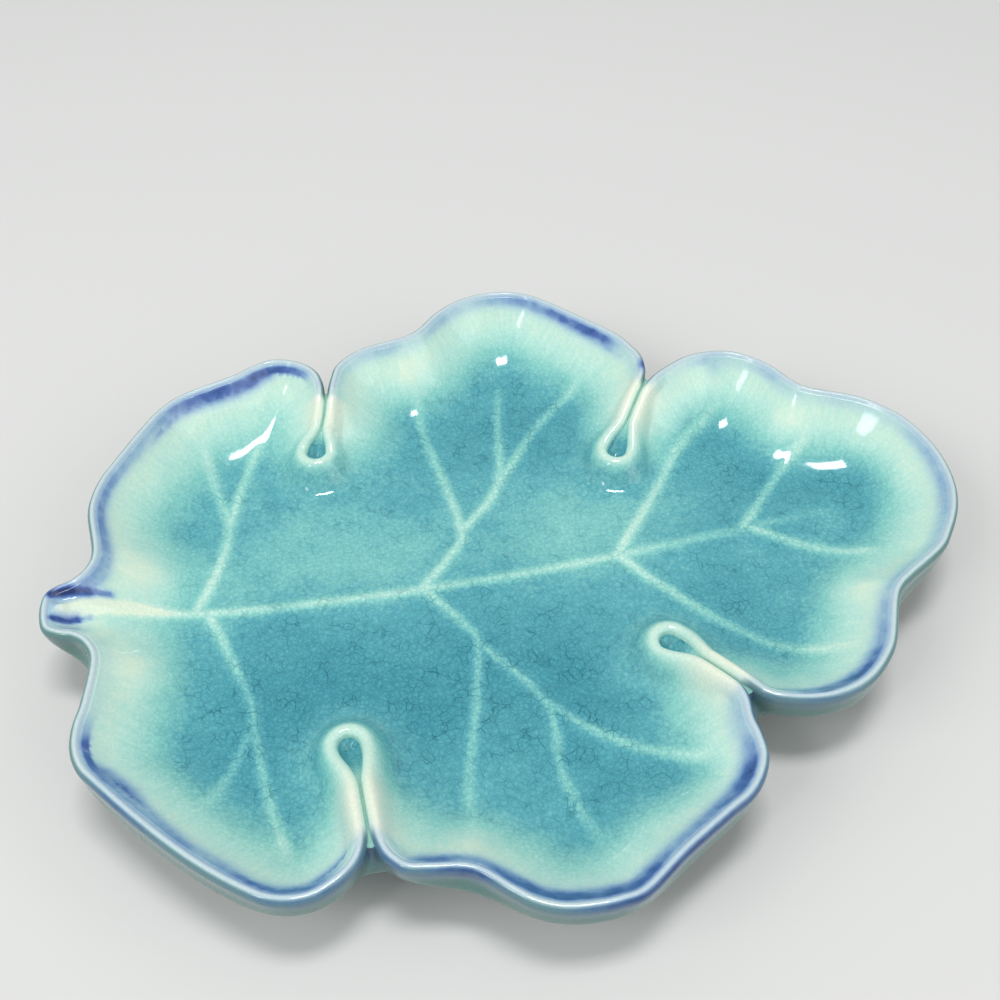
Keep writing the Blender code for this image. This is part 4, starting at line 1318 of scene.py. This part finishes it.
@dataclass(frozen=True)
class CeladonGlaze:
    """Copper-turquoise celadon glaze: a clear glassy coat, pale where thin, teal where it pooled.

    The crackle has two nets of cells, about 2 mm and 1 mm across. Their lines are drawn wider than
    real ones, so that they show.
    """

    name: str = "crackled_celadon_glaze"
    depths: tuple = (
        (0.0, "#DCE9D3"), (0.20, "#B4DDD0"), (0.45, "#86C7BF"), (0.72, "#57A4AD"), (1.0, "#3D8E9C"))
    cobalts: tuple = ((0.0, "#A2BFDC"), (0.5, "#6286C2"), (0.8, "#42609E"), (1.0, "#1C3268"))
    cream: str = "#E6E8D4"
    lip_white: str = "#BECDD1"
    wall: str = "#74A09D"
    # Painted shade: multiplied over the outer wall and the lip's outer side to darken them
    painted_outside_shade: str = "#C6CCC8"
    crack_stain: str = "#8FB4BC"
    roughness: float = 0.09
    glass_ior: float = 1.52
    cloud_mm: float = 7.6923
    grain_mm: float = 0.76923
    wisp_mm: float = 2.38095
    swell_mm: float = 3.84615
    swell_height_mm: float = 0.2
    streak_mm: float = 0.90909
    crackle_mm: float = 2.0
    fine_share: float = 0.42
    vein_thinning: float = 0.42

    def material(self) -> Material:
        """Make the glaze's material.

        Returns:
            The material.
        """
        material, maker = new_material(self.name)
        add = maker.add
        place = add("ShaderNodeTexCoord", out="Object")
        pool, vein, cobalt, lip, ridge, inset, along, outside = (
            add("ShaderNodeAttribute", out="Fac", attribute_name=name)
            for name in ("pool", "vein", "cobalt", "lip", "cream", "inset", "along", "wall"))
        cloud, grain, wisps, swell = (
            add("ShaderNodeTexNoise", {
                "Vector": place, "Scale": 1 / (size * MILLIMETRE), "Detail": detail})
            for size, detail in ((self.cloud_mm, 4.0), (self.grain_mm, 2.0), (self.wisp_mm, 3.0),
                                 (self.swell_mm, 2.0)))
        # Soft clouds and fine grain, stronger where the glaze is deep
        clouded = add("ShaderNodeMath", {0: cloud, 1: 0.22, 2: -0.11}, operation="MULTIPLY_ADD")
        grained = add("ShaderNodeMath", {0: grain, 1: 0.28, 2: -0.14}, operation="MULTIPLY_ADD")
        varied = add("ShaderNodeMath", {0: clouded, 1: grained}, operation="ADD")
        weight = add("ShaderNodeMath", {0: pool, 1: 1.5, 2: 0.25}, operation="MULTIPLY_ADD")
        depth = add("ShaderNodeMath", {0: varied, 1: weight, 2: pool}, operation="MULTIPLY_ADD")
        depth = add("ShaderNodeMath", {0: depth, 1: self.streaks(maker, inset, along)},
                    operation="ADD")
        depth = add("ShaderNodeMath", {0: vein, 1: -self.vein_thinning, 2: depth},
                    operation="MULTIPLY_ADD")
        colour = add("ShaderNodeValToRGB", {0: depth})
        maker.fill_ramp(self.depths)
        # Cobalt with ragged edges
        ragged = add("ShaderNodeMath", {0: wisps, 1: 0.7, 2: 0.65}, operation="MULTIPLY_ADD")
        inked = add("ShaderNodeMath", {0: cobalt, 1: ragged}, operation="MULTIPLY", use_clamp=True)
        blue = add("ShaderNodeValToRGB", {0: inked})
        maker.fill_ramp(self.cobalts)
        cover = add("ShaderNodeMath", {0: inked, 1: 1.35}, operation="MULTIPLY", use_clamp=True)
        cracks = self.crackle(maker, place, pool)
        # Cream on the ridges, the outer wall's colour, the lip's white and the cobalt, then a
        # painted shade multiplied over the outside, then the crack stains
        for share, tone, way in (
                (ridge, linear(self.cream), "MIX"), (outside, linear(self.wall), "MIX"),
                (lip, linear(self.lip_white), "MIX"), (cover, blue, "MIX"),
                (outside, linear(self.painted_outside_shade), "MULTIPLY"),
                (cracks, linear(self.crack_stain), "MULTIPLY")):
            colour = add("ShaderNodeMix", {0: share, 6: colour, 7: tone}, 2,
                         data_type="RGBA", blend_type=way)
        bump = add("ShaderNodeBump", {
            "Strength": 0.10, "Distance": self.swell_height_mm * MILLIMETRE, "Height": swell})
        shader = add("ShaderNodeBsdfPrincipled", {
            "Base Color": colour, "Roughness": self.roughness, "IOR": self.glass_ior,
            "Normal": bump})
        add("ShaderNodeOutputMaterial", {"Surface": shader})
        return material

    def streaks(self, maker: NodeMaker, inset: NodeSocket, along: NodeSocket) -> NodeSocket:
        """Let the glaze run down the inner wall in faint streaks, square to the lip.

        Args:
            maker: Adds nodes to the material's tree.
            inset: Distance from the free edge in millimetres.
            along: Length along the lip in millimetres.

        Returns:
            How much the streaks add to the depth of the glaze.
        """
        add = maker.add
        across = add("ShaderNodeMath", {0: inset, 1: 0.16}, operation="MULTIPLY")
        place = add("ShaderNodeCombineXYZ", {"X": along, "Y": across})
        noise = add("ShaderNodeTexNoise", {
            "Vector": place, "Scale": 1 / self.streak_mm, "Detail": 2.0})
        level = add("ShaderNodeMath", {0: noise, 1: 0.20, 2: -0.10}, operation="MULTIPLY_ADD")
        for low, high in ((3.0, 5.0), (15.0, 9.0)):
            fade = add("ShaderNodeMapRange", {"Value": inset, "From Min": low, "From Max": high})
            level = add("ShaderNodeMath", {0: level, 1: fade}, operation="MULTIPLY")
        return level

    def net(self, maker: NodeMaker, place: NodeSocket, cell_mm: float,
            width: float) -> NodeSocket:
        """Draw one net of cracks.

        Args:
            maker: Adds nodes to the material's tree.
            place: The surface's place.
            cell_mm: Size of the net's cells in millimetres.
            width: Half the width of a line, as a share of a cell.

        Returns:
            The lines' strength.
        """
        cell = cell_mm * MILLIMETRE
        bend = maker.add("ShaderNodeTexNoise", {
            "Vector": place, "Scale": 0.9 / cell, "Detail": 3.0}, "Color")
        bent = maker.add("ShaderNodeVectorMath", {0: bend, 1: (0.9 * cell,) * 3, 2: place},
                         operation="MULTIPLY_ADD")
        edge = maker.add("ShaderNodeTexVoronoi", {"Vector": bent, "Scale": 1 / cell}, "Distance",
                         feature="DISTANCE_TO_EDGE")
        return maker.add("ShaderNodeMapRange", {
            "Value": edge, "From Max": width, "To Min": 1.0, "To Max": 0.0},
            interpolation_type="SMOOTHSTEP")

    def crackle(self, maker: NodeMaker, place: NodeSocket, pool: NodeSocket) -> NodeSocket:
        """Draw the broken net of fine cracks, which shows most where the glaze is deep.

        Args:
            maker: Adds nodes to the material's tree.
            place: The surface's place.
            pool: How deep the glaze stands.

        Returns:
            The cracks' colour strength.
        """
        add = maker.add
        large = self.net(maker, place, self.crackle_mm, 0.085)
        small = self.net(maker, place, self.crackle_mm * self.fine_share, 0.20)
        noise = add("ShaderNodeTexNoise", {
            "Vector": place, "Scale": 1 / (self.swell_mm * MILLIMETRE), "Detail": 3.0})
        for value, low, high, least in ((noise, 0.36, 0.62, 0.0), (pool, 0.25, 0.90, 0.06)):
            share = add("ShaderNodeMapRange", {
                "Value": value, "From Min": low, "From Max": high, "To Min": least, "To Max": 0.95})
            large = add("ShaderNodeMath", {0: large, 1: share}, operation="MULTIPLY")
        shallow = add("ShaderNodeMath", {0: pool, 1: 0.36, 2: 0.05}, operation="MULTIPLY_ADD")
        small = add("ShaderNodeMath", {0: small, 1: shallow}, operation="MULTIPLY")
        return add("ShaderNodeMath", {0: large, 1: small}, operation="MAXIMUM")


@dataclass(frozen=True)
class Stoneware:
    """Bare fired stoneware: matt, warm grey-buff, with fine sandy grit and iron specks."""

    name: str = "fired_stoneware"
    body: str = "#B7A48A"
    light: str = "#CDBDA4"
    speck: str = "#6E5540"
    grit_mm: float = 0.35
    grit_height_mm: float = 0.08
    speck_mm: float = 1.42857
    roughness: float = 0.86

    def material(self) -> Material:
        """Make the clay's material.

        Returns:
            The material.
        """
        material, maker = new_material(self.name)
        add = maker.add
        place = add("ShaderNodeTexCoord", out="Object")
        grit = add("ShaderNodeTexNoise", {
            "Vector": place, "Scale": 1 / (self.grit_mm * MILLIMETRE), "Detail": 4.0})
        iron = add("ShaderNodeTexVoronoi", {
            "Vector": place, "Scale": 1 / (self.speck_mm * MILLIMETRE)})
        spots = add("ShaderNodeMapRange", {
            "Value": iron, "From Min": 0.10, "From Max": 0.16, "To Min": 0.8, "To Max": 0.0})
        colour = linear(self.body)
        for share, tone in ((grit, self.light), (spots, self.speck)):
            colour = add("ShaderNodeMix", {0: share, 6: colour, 7: linear(tone)}, 2,
                         data_type="RGBA")
        bump = add("ShaderNodeBump", {
            "Strength": 0.5, "Distance": self.grit_height_mm * MILLIMETRE, "Height": grit})
        shader = add("ShaderNodeBsdfPrincipled", {
            "Base Color": colour, "Roughness": self.roughness, "Normal": bump})
        add("ShaderNodeOutputMaterial", {"Surface": shader})
        return material


def packed(points: Array, faces: Array) -> tuple[Array, Array]:
    """Leave out points that no face uses.

    Args:
        points: All points.
        faces: Triangles as numbers into them.

    Returns:
        The numbers of the points in use, and the faces as numbers into those.
    """
    used = np.unique(faces)
    number = np.zeros(len(points), int)
    number[used] = np.arange(len(used))
    return used, number[faces]


@dataclass
class Coat:
    """One coat of glaze as a closed thin shell between the skin and the clay."""

    name: str
    zone: Zone
    node: str
    thickness: float = 0.30

    def mesh(self, skin: Skin, fit: "PlanFit", material: Material) -> Object:
        """Make the shell's object.

        Args:
            skin: The leaf's whole skin.
            fit: Moves the leaf's plan to the frame.
            material: The glaze.

        Returns:
            The object, at the origin.
        """
        points = fit.placed(skin.all_points())
        used, faces = packed(points, np.vstack(skin.faces[self.zone]))
        inner = (points - skin.outward() * self.thickness)[used]
        edges = np.vstack((faces[:, :2], faces[:, 1:], faces[:, [2, 0]])).tolist()
        pairs = {(a, b) for a, b in edges}
        one, two = np.array([(a, b) for a, b in edges if (b, a) not in pairs]).T
        count = len(used)
        walls = np.vstack((np.stack((two, one, one + count)).T,
                           np.stack((two, one + count, two + count)).T))
        every = np.vstack((faces, faces[:, ::-1] + count, walls))
        piece = plain_object(self.name, np.vstack((points[used], inner)), every, material)
        for name, values in zip(TRAITS, skin.all_traits()[used].T):
            add_values(piece.data, name, np.tile(values, 2))
        add_values(piece.data, "outer", np.repeat((1.0, 0.0), count))
        return piece


@dataclass
class ClayLeaf:
    """The pressed clay leaf under the coats, closed under the foot as well."""

    name: str = "clay_leaf"
    depth: float = 0.30
    outer_depth: float = 0.42

    def mesh(self, skin: Skin, fit: "PlanFit", material: Material) -> Object:
        """Make the clay's object.

        Args:
            skin: The leaf's whole skin.
            fit: Moves the leaf's plan to the frame.
            material: The fired clay.

        Returns:
            The object, at the origin.
        """
        below_lip = -skin.all_traits()[:, TRAITS.index("inset")]
        depth = self.depth + (self.outer_depth - self.depth) * eased((below_lip - 1.3) / 2.2)
        points = fit.placed(skin.all_points()) - skin.outward() * depth[:, None]
        used, faces = packed(
            points, np.vstack([part for parts in skin.faces.values() for part in parts]))
        return plain_object(self.name, points[used], faces, material)


def in_scene(thing: Object) -> Object:
    """Put an object in the scene, and return it.

    Args:
        thing: The object.

    Returns:
        The same object.
    """
    bpy.context.scene.collection.objects.link(thing)
    return thing


def add_values(mesh: Mesh, name: str, values: Array) -> None:
    """Store one value a point on a mesh.

    Args:
        mesh: The mesh.
        name: The attribute's name.
        values: One value a point.
    """
    mesh.attributes.new(name, "FLOAT", "POINT").data.foreach_set("value", values.astype(np.float32))


def plain_object(name: str, points: Array, faces: Array, material: Material) -> Object:
    """Make a smooth mesh object from points in millimetres.

    Args:
        name: The object's name.
        points: The points, one row each.
        faces: Triangles as numbers into the points.
        material: What it is made of.

    Returns:
        The object, at the origin.
    """
    mesh = bpy.data.meshes.new(name)
    mesh.vertices.add(len(points))
    mesh.vertices.foreach_set("co", (points * MILLIMETRE).ravel())
    mesh.loops.add(len(faces) * 3)
    mesh.loops.foreach_set("vertex_index", faces.ravel())
    mesh.polygons.add(len(faces))
    mesh.polygons.foreach_set("loop_start", np.arange(0, len(faces) * 3, 3))
    mesh.update(calc_edges=True)
    mesh.shade_smooth()
    mesh.set_sharp_from_angle(angle=math.radians(SHARP_DEGREES))
    mesh.materials.append(material)
    return in_scene(bpy.data.objects.new(name, mesh))


@dataclass(frozen=True)
class PlanFit:
    """Moves the leaf's plan to the frame's middle and keeps it inside the frame's box."""

    middle: Array
    shrink: float

    @classmethod
    def to_frame(cls, skin: Skin) -> "PlanFit":
        """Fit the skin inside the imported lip's box.

        Args:
            skin: The leaf's whole skin.

        Returns:
            The fit.
        """
        low, high = (np.array(corner)[:2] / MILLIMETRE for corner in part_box("rim_glaze"))
        middle = leaf_plan(LEAF_MIDDLE)
        plan = skin.all_points()[:, :2] - middle
        ratio = min((low / plan.min(axis=0)).min(), (high / plan.max(axis=0)).min(), 1.0)
        return cls(middle, float(ratio) * 0.9996)

    def placed(self, points: Array) -> Array:
        """Move points from the leaf's plan to the frame.

        Args:
            points: Points in the leaf's plan.

        Returns:
            The moved points.
        """
        moved = points.copy()
        moved[:, :2] = (points[:, :2] - self.middle) * self.shrink
        return moved


@dataclass
class VeinRelief:
    """The raised midrib and veins, drawn on the well's glaze by a node tree.

    The tree finds each point's distance from the net of veins and lifts it by a bell curve.
    """

    rise: float = 0.24
    half_width: float = 1.0
    stain_half_width: float = 1.05

    def sizes(self) -> dict[str, float]:
        """Give the tree's inputs by name, in millimetres.

        Returns:
            The sizes.
        """
        return {"Vein Rise": self.rise, "Vein Half Width": self.half_width,
                "Stain Half Width": self.stain_half_width}

    def net(self, fit: PlanFit) -> Object:
        """Make the net of veins as a wire mesh with each point's strength.

        Args:
            fit: Moves the leaf's plan to the frame.

        Returns:
            The wire's object.
        """
        points, edges, strength = [], [], []
        for number, vein in enumerate((MIDRIB,) + VEINS):
            line = evenly(curve_through(leaf_plan(vein), 10), 0.5)
            share = lengths_along(line) / lengths_along(line)[-1]
            power = (1 - share ** 2 / 2) * np.clip((1 - share) * 8, 0, 1)
            if number == 0:
                power = 1 - share ** 4
            edges += [(len(points) + i, len(points) + i + 1) for i in range(len(line) - 1)]
            flat = fit.placed(np.column_stack((line, np.zeros(len(line))))) * MILLIMETRE
            points += [tuple(place) for place in flat]
            strength += list(power)
        mesh = bpy.data.meshes.new("vein_net")
        mesh.from_pydata(points, edges, [])
        add_values(mesh, "strength", np.array(strength))
        return in_scene(bpy.data.objects.new("vein_net", mesh))

    def tree(self, net: Object, material: Material) -> NodeTree:
        """Make the node tree that lifts the glaze over the veins.

        Args:
            net: The wire mesh of the veins.
            material: The glaze.

        Returns:
            The tree.
        """
        maker, given = new_geometry_tree("raise_veins", tuple(self.sizes()))
        add = maker.add
        veins = add("GeometryNodeObjectInfo", {"Object": net}, "Geometry",
                    transform_space="ORIGINAL")
        place = add("GeometryNodeInputPosition")
        flat = add("ShaderNodeVectorMath", {0: place, 1: (1.0, 1.0, 0.0)}, operation="MULTIPLY")
        distance = add("GeometryNodeProximity", {0: veins, "Sample Position": flat}, "Distance",
                       target_element="EDGES")
        nearest = add("GeometryNodeSampleNearest", {"Geometry": veins, "Sample Position": flat},
                      domain="POINT")
        strength, inset, outer = (
            add("GeometryNodeInputNamedAttribute", {"Name": name}, data_type="FLOAT")
            for name in ("strength", "inset", "outer"))
        power = add("GeometryNodeSampleIndex", {
            "Geometry": veins, "Value": strength, "Index": nearest},
            data_type="FLOAT", domain="POINT")
        clear = add("ShaderNodeMapRange", {"Value": inset, "From Min": 2.9, "From Max": 5.6})
        gentle = add("ShaderNodeMath", {0: power, 1: clear}, operation="MULTIPLY")
        lift, stain = (self.bell_nodes(maker, distance, given[name], gentle)
                       for name in ("Vein Half Width", "Stain Half Width"))
        for share in (given["Vein Rise"], outer):
            lift = add("ShaderNodeMath", {0: lift, 1: share}, operation="MULTIPLY")
        offset = add("ShaderNodeCombineXYZ", {"Z": lift})
        stored = add("GeometryNodeStoreNamedAttribute", {
            "Geometry": given["Geometry"], "Name": "vein", "Value": stain},
            data_type="FLOAT", domain="POINT")
        moved = add("GeometryNodeSetPosition", {"Geometry": stored, "Offset": offset})
        return maker.ended(moved, material)

    def bell_nodes(self, maker: NodeMaker, distance: NodeSocket, reach: NodeSocket,
                   height: NodeSocket) -> NodeSocket:
        """Add nodes for a bell curve of a distance.

        Args:
            maker: Adds the nodes.
            distance: The distance.
            reach: Where the curve has fallen to about a third.
            height: The curve's height.

        Returns:
            The curve's socket.
        """
        ratio = maker.add("ShaderNodeMath", {0: distance, 1: reach}, operation="DIVIDE")
        minus = maker.add("ShaderNodeMath", {0: ratio, 1: -1.0}, operation="MULTIPLY")
        power = maker.add("ShaderNodeMath", {0: ratio, 1: minus}, operation="MULTIPLY")
        curve = maker.add("ShaderNodeMath", {0: power}, operation="EXPONENT")
        return maker.add("ShaderNodeMath", {0: curve, 1: height}, operation="MULTIPLY")

    def raise_on(self, glaze: Object, fit: PlanFit, material: Material) -> None:
        """Raise the veins on a coat of glaze and leave it a plain mesh.

        Args:
            glaze: The coat.
            fit: Moves the leaf's plan to the frame.
            material: The glaze's material.
        """
        net = self.net(fit)
        baked_by_nodes(glaze, self.tree(net, material), self.sizes())
        bpy.data.objects.remove(net, do_unlink=True)


def baked_by_nodes(piece: Object, tree: NodeTree, sizes: dict[str, float]) -> None:
    """Run a node tree on a piece and keep its result as the piece's plain mesh.

    Args:
        piece: The object that the tree changes.
        tree: The geometry node tree.
        sizes: Values of the tree's inputs in millimetres, by their names.
    """
    modifier = piece.modifiers.new(tree.name, "NODES")
    modifier.node_group = tree
    for item in tree.interface.items_tree:
        if item.item_type == "SOCKET" and item.in_out == "INPUT" and item.name in sizes:
            modifier[item.identifier] = sizes[item.name] * MILLIMETRE
    graph = bpy.context.evaluated_depsgraph_get()
    graph.update()
    result = bpy.data.meshes.new_from_object(piece.evaluated_get(graph))
    piece.modifiers.remove(modifier)
    piece.data = result


@dataclass
class OvalFoot:
    """The bare oval foot, a tapered band swept round an oval by a node tree."""

    length: float = 86.0
    width: float = 56.0
    band: float = 4.0
    tread: float = 3.1
    height: float = 2.9
    corner: float = 0.55
    steps_round: int = 240
    sharp_degrees: float = 50.0

    def sizes(self) -> dict[str, float]:
        """Give the tree's inputs by name, in millimetres.

        Returns:
            The sizes.
        """
        return {"Half Length": (self.length - self.band) / 2,
                "Half Width": (self.width - self.band) / 2, "Band": self.band,
                "Tread": self.tread, "Height": self.height, "Corner": self.corner}

    def tree(self, material: Material) -> NodeTree:
        """Make the node tree that sweeps the foot's section round the oval.

        Args:
            material: The bare clay.

        Returns:
            The tree.
        """
        maker, given = new_geometry_tree("sweep_foot", tuple(self.sizes()))
        add = maker.add
        circle = add("GeometryNodeCurvePrimitiveCircle", {
            "Resolution": self.steps_round, "Radius": 1.0})
        stretch = add("ShaderNodeCombineXYZ", {
            "X": given["Half Length"], "Y": given["Half Width"], "Z": 1.0})
        oval = add("GeometryNodeTransform", {0: circle, "Scale": stretch})
        section = add("GeometryNodeCurvePrimitiveQuadrilateral", {
            "Bottom Width": given["Tread"], "Top Width": given["Band"], "Height": given["Height"],
            "Offset": 0.0}, mode="TRAPEZOID")
        rounded = add("GeometryNodeFilletCurve", {
            0: section, "Count": 5, "Limit Radius": True, "Radius": given["Corner"]}, mode="POLY")
        swept = add("GeometryNodeCurveToMesh", {0: oval, 1: rounded})
        half = add("ShaderNodeMath", {0: given["Height"], 1: 0.5}, operation="MULTIPLY")
        up = add("ShaderNodeCombineXYZ", {"Z": half})
        placed = add("GeometryNodeTransform", {0: swept, "Translation": up})
        return maker.ended(add("GeometryNodeSetShadeSmooth", {0: placed}), material)

    def build(self, middle: Array, material: Material) -> Object:
        """Build the foot at its place in the frame.

        Args:
            middle: Plan middle of the foot, in millimetres of the frame.
            material: The bare clay.

        Returns:
            The foot's object.
        """
        foot = in_scene(bpy.data.objects.new("bare_foot", bpy.data.meshes.new("bare_foot")))
        baked_by_nodes(foot, self.tree(material), self.sizes())
        mesh = foot.data
        places = np.zeros(len(mesh.vertices) * 3)
        mesh.vertices.foreach_get("co", places)
        places = places.reshape(-1, 3)
        places[:, :2] += middle * MILLIMETRE
        mesh.vertices.foreach_set("co", places.ravel())
        mesh.set_sharp_from_angle(angle=math.radians(self.sharp_degrees))
        mesh.update()
        return foot


@dataclass
class Studio:
    """Pale floor, soft lamps and the camera at the photograph's angle, in metres."""

    camera_place: tuple = (-0.0288, -0.1269, 0.1791)
    camera_turn: tuple = (40.84, 0.0, -11.4)
    lens: float = 43.56
    sensor: float = 36.0
    nearest_seen: float = 0.005
    floor_reach: float = 3.0
    floor_colour: str = "#D0D0CE"
    floor_roughness: float = 0.9
    sky_colour: str = "#EEF1F3"
    sky_strength: float = 0.55
    # Each lamp's name, place, width, depth, watts, and whether the gloss shows it
    lamps: tuple = (
        ("overhead_softbox", (0.0, -0.03, 0.80), 0.26, 0.13, 3.0, True),
        ("sky_left", (-0.85, -0.25, 0.75), 0.60, 0.60, 4.0, False),
        ("window_pane", (-0.55, -0.38, 0.75), 0.10, 0.24, 0.60, True),
        ("fill_right", (0.80, -0.60, 0.60), 0.80, 0.80, 2.6, True))

    def build(self) -> None:
        """Build the floor, the lamps, the world and the camera."""
        self.floor()
        for name, place, width, depth, watts, mirrored in self.lamps:
            light = bpy.data.lights.new(name, "AREA")
            light.shape, light.size, light.size_y, light.energy = "RECTANGLE", width, depth, watts
            lamp = in_scene(bpy.data.objects.new(name, light))
            lamp.location, lamp.visible_glossy = place, mirrored
            lamp.rotation_euler = (-Vector(place)).to_track_quat("-Z", "Y").to_euler()
        world = bpy.data.worlds.new("studio")
        world.use_nodes = True
        background = world.node_tree.nodes["Background"]
        background.inputs["Color"].default_value = linear(self.sky_colour)
        background.inputs["Strength"].default_value = self.sky_strength
        bpy.context.scene.world = world
        lens = bpy.data.cameras.new("photo_angle")
        lens.lens, lens.sensor_width, lens.clip_start = self.lens, self.sensor, self.nearest_seen
        camera = in_scene(bpy.data.objects.new("photo_angle", lens))
        camera.location = self.camera_place
        camera.rotation_euler = [math.radians(turn) for turn in self.camera_turn]
        bpy.context.scene.camera = camera
        bpy.context.scene.view_settings.view_transform = "Standard"

    def floor(self) -> None:
        """Lay the floor."""
        mesh = bpy.data.meshes.new("studio_floor")
        corners = [(x * self.floor_reach, y * self.floor_reach, 0)
                   for x, y in ((-1, -1), (1, -1), (1, 1), (-1, 1))]
        mesh.from_pydata(corners, [], [(0, 1, 2, 3)])
        # Plain matt paper, so that only the dish and its shadow show
        material = bpy.data.materials.new("plain_paper_floor")
        material.use_nodes = True
        shader = material.node_tree.nodes["Principled BSDF"]
        shader.inputs["Base Color"].default_value = linear(self.floor_colour)
        shader.inputs["Roughness"].default_value = self.floor_roughness
        mesh.materials.append(material)
        in_scene(bpy.data.objects.new("studio_floor", mesh))


@dataclass
class LeafDish:
    """The whole dish: four coats of glaze on the clay leaf, and its foot."""

    coats: tuple = (
        Coat("glaze_of_the_well", Zone.WELL, "face_glaze"),
        Coat("glaze_of_the_lip", Zone.LIP, "rim_glaze"),
        Coat("glaze_of_the_back", Zone.BACK, "back_glaze"),
        Coat("glaze_inside_the_foot", Zone.BASE, "base_glaze"))

    def build(self) -> None:
        """Build, dress and seat every piece."""
        form = LeafForm()
        leaf = GlazedLeaf(form, LipPath(form))
        skin = leaf.build()
        fit = PlanFit.to_frame(skin)
        glaze, clay = CeladonGlaze().material(), Stoneware().material()
        for coat in self.coats:
            piece = coat.mesh(skin, fit, glaze)
            if coat.zone is Zone.WELL:
                VeinRelief().raise_on(piece, fit, glaze)
            self.seated(piece, coat.node)
        middle = fit.placed(np.append(leaf.foot_oval(0, 4).mean(axis=0), 0)[None, :])[0, :2]
        self.seated(OvalFoot().build(middle, clay), "foot_ring")
        self.seated(ClayLeaf().mesh(skin, fit, clay), "leaf_body")

    def seated(self, piece: Object, node: str) -> None:
        """Ride a piece on the dish, in place of its solid, and report it.

        Args:
            piece: The finished piece.
            node: The name of its solid, and of its material slot.
        """
        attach(piece, "root")
        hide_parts(node)
        log.info("%s: %d faces", piece.name, len(piece.data.polygons))


def main() -> None:
    """Build the dish and the studio."""
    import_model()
    LeafDish().build()
    Studio().build()


if __name__ == "__main__":
    main()
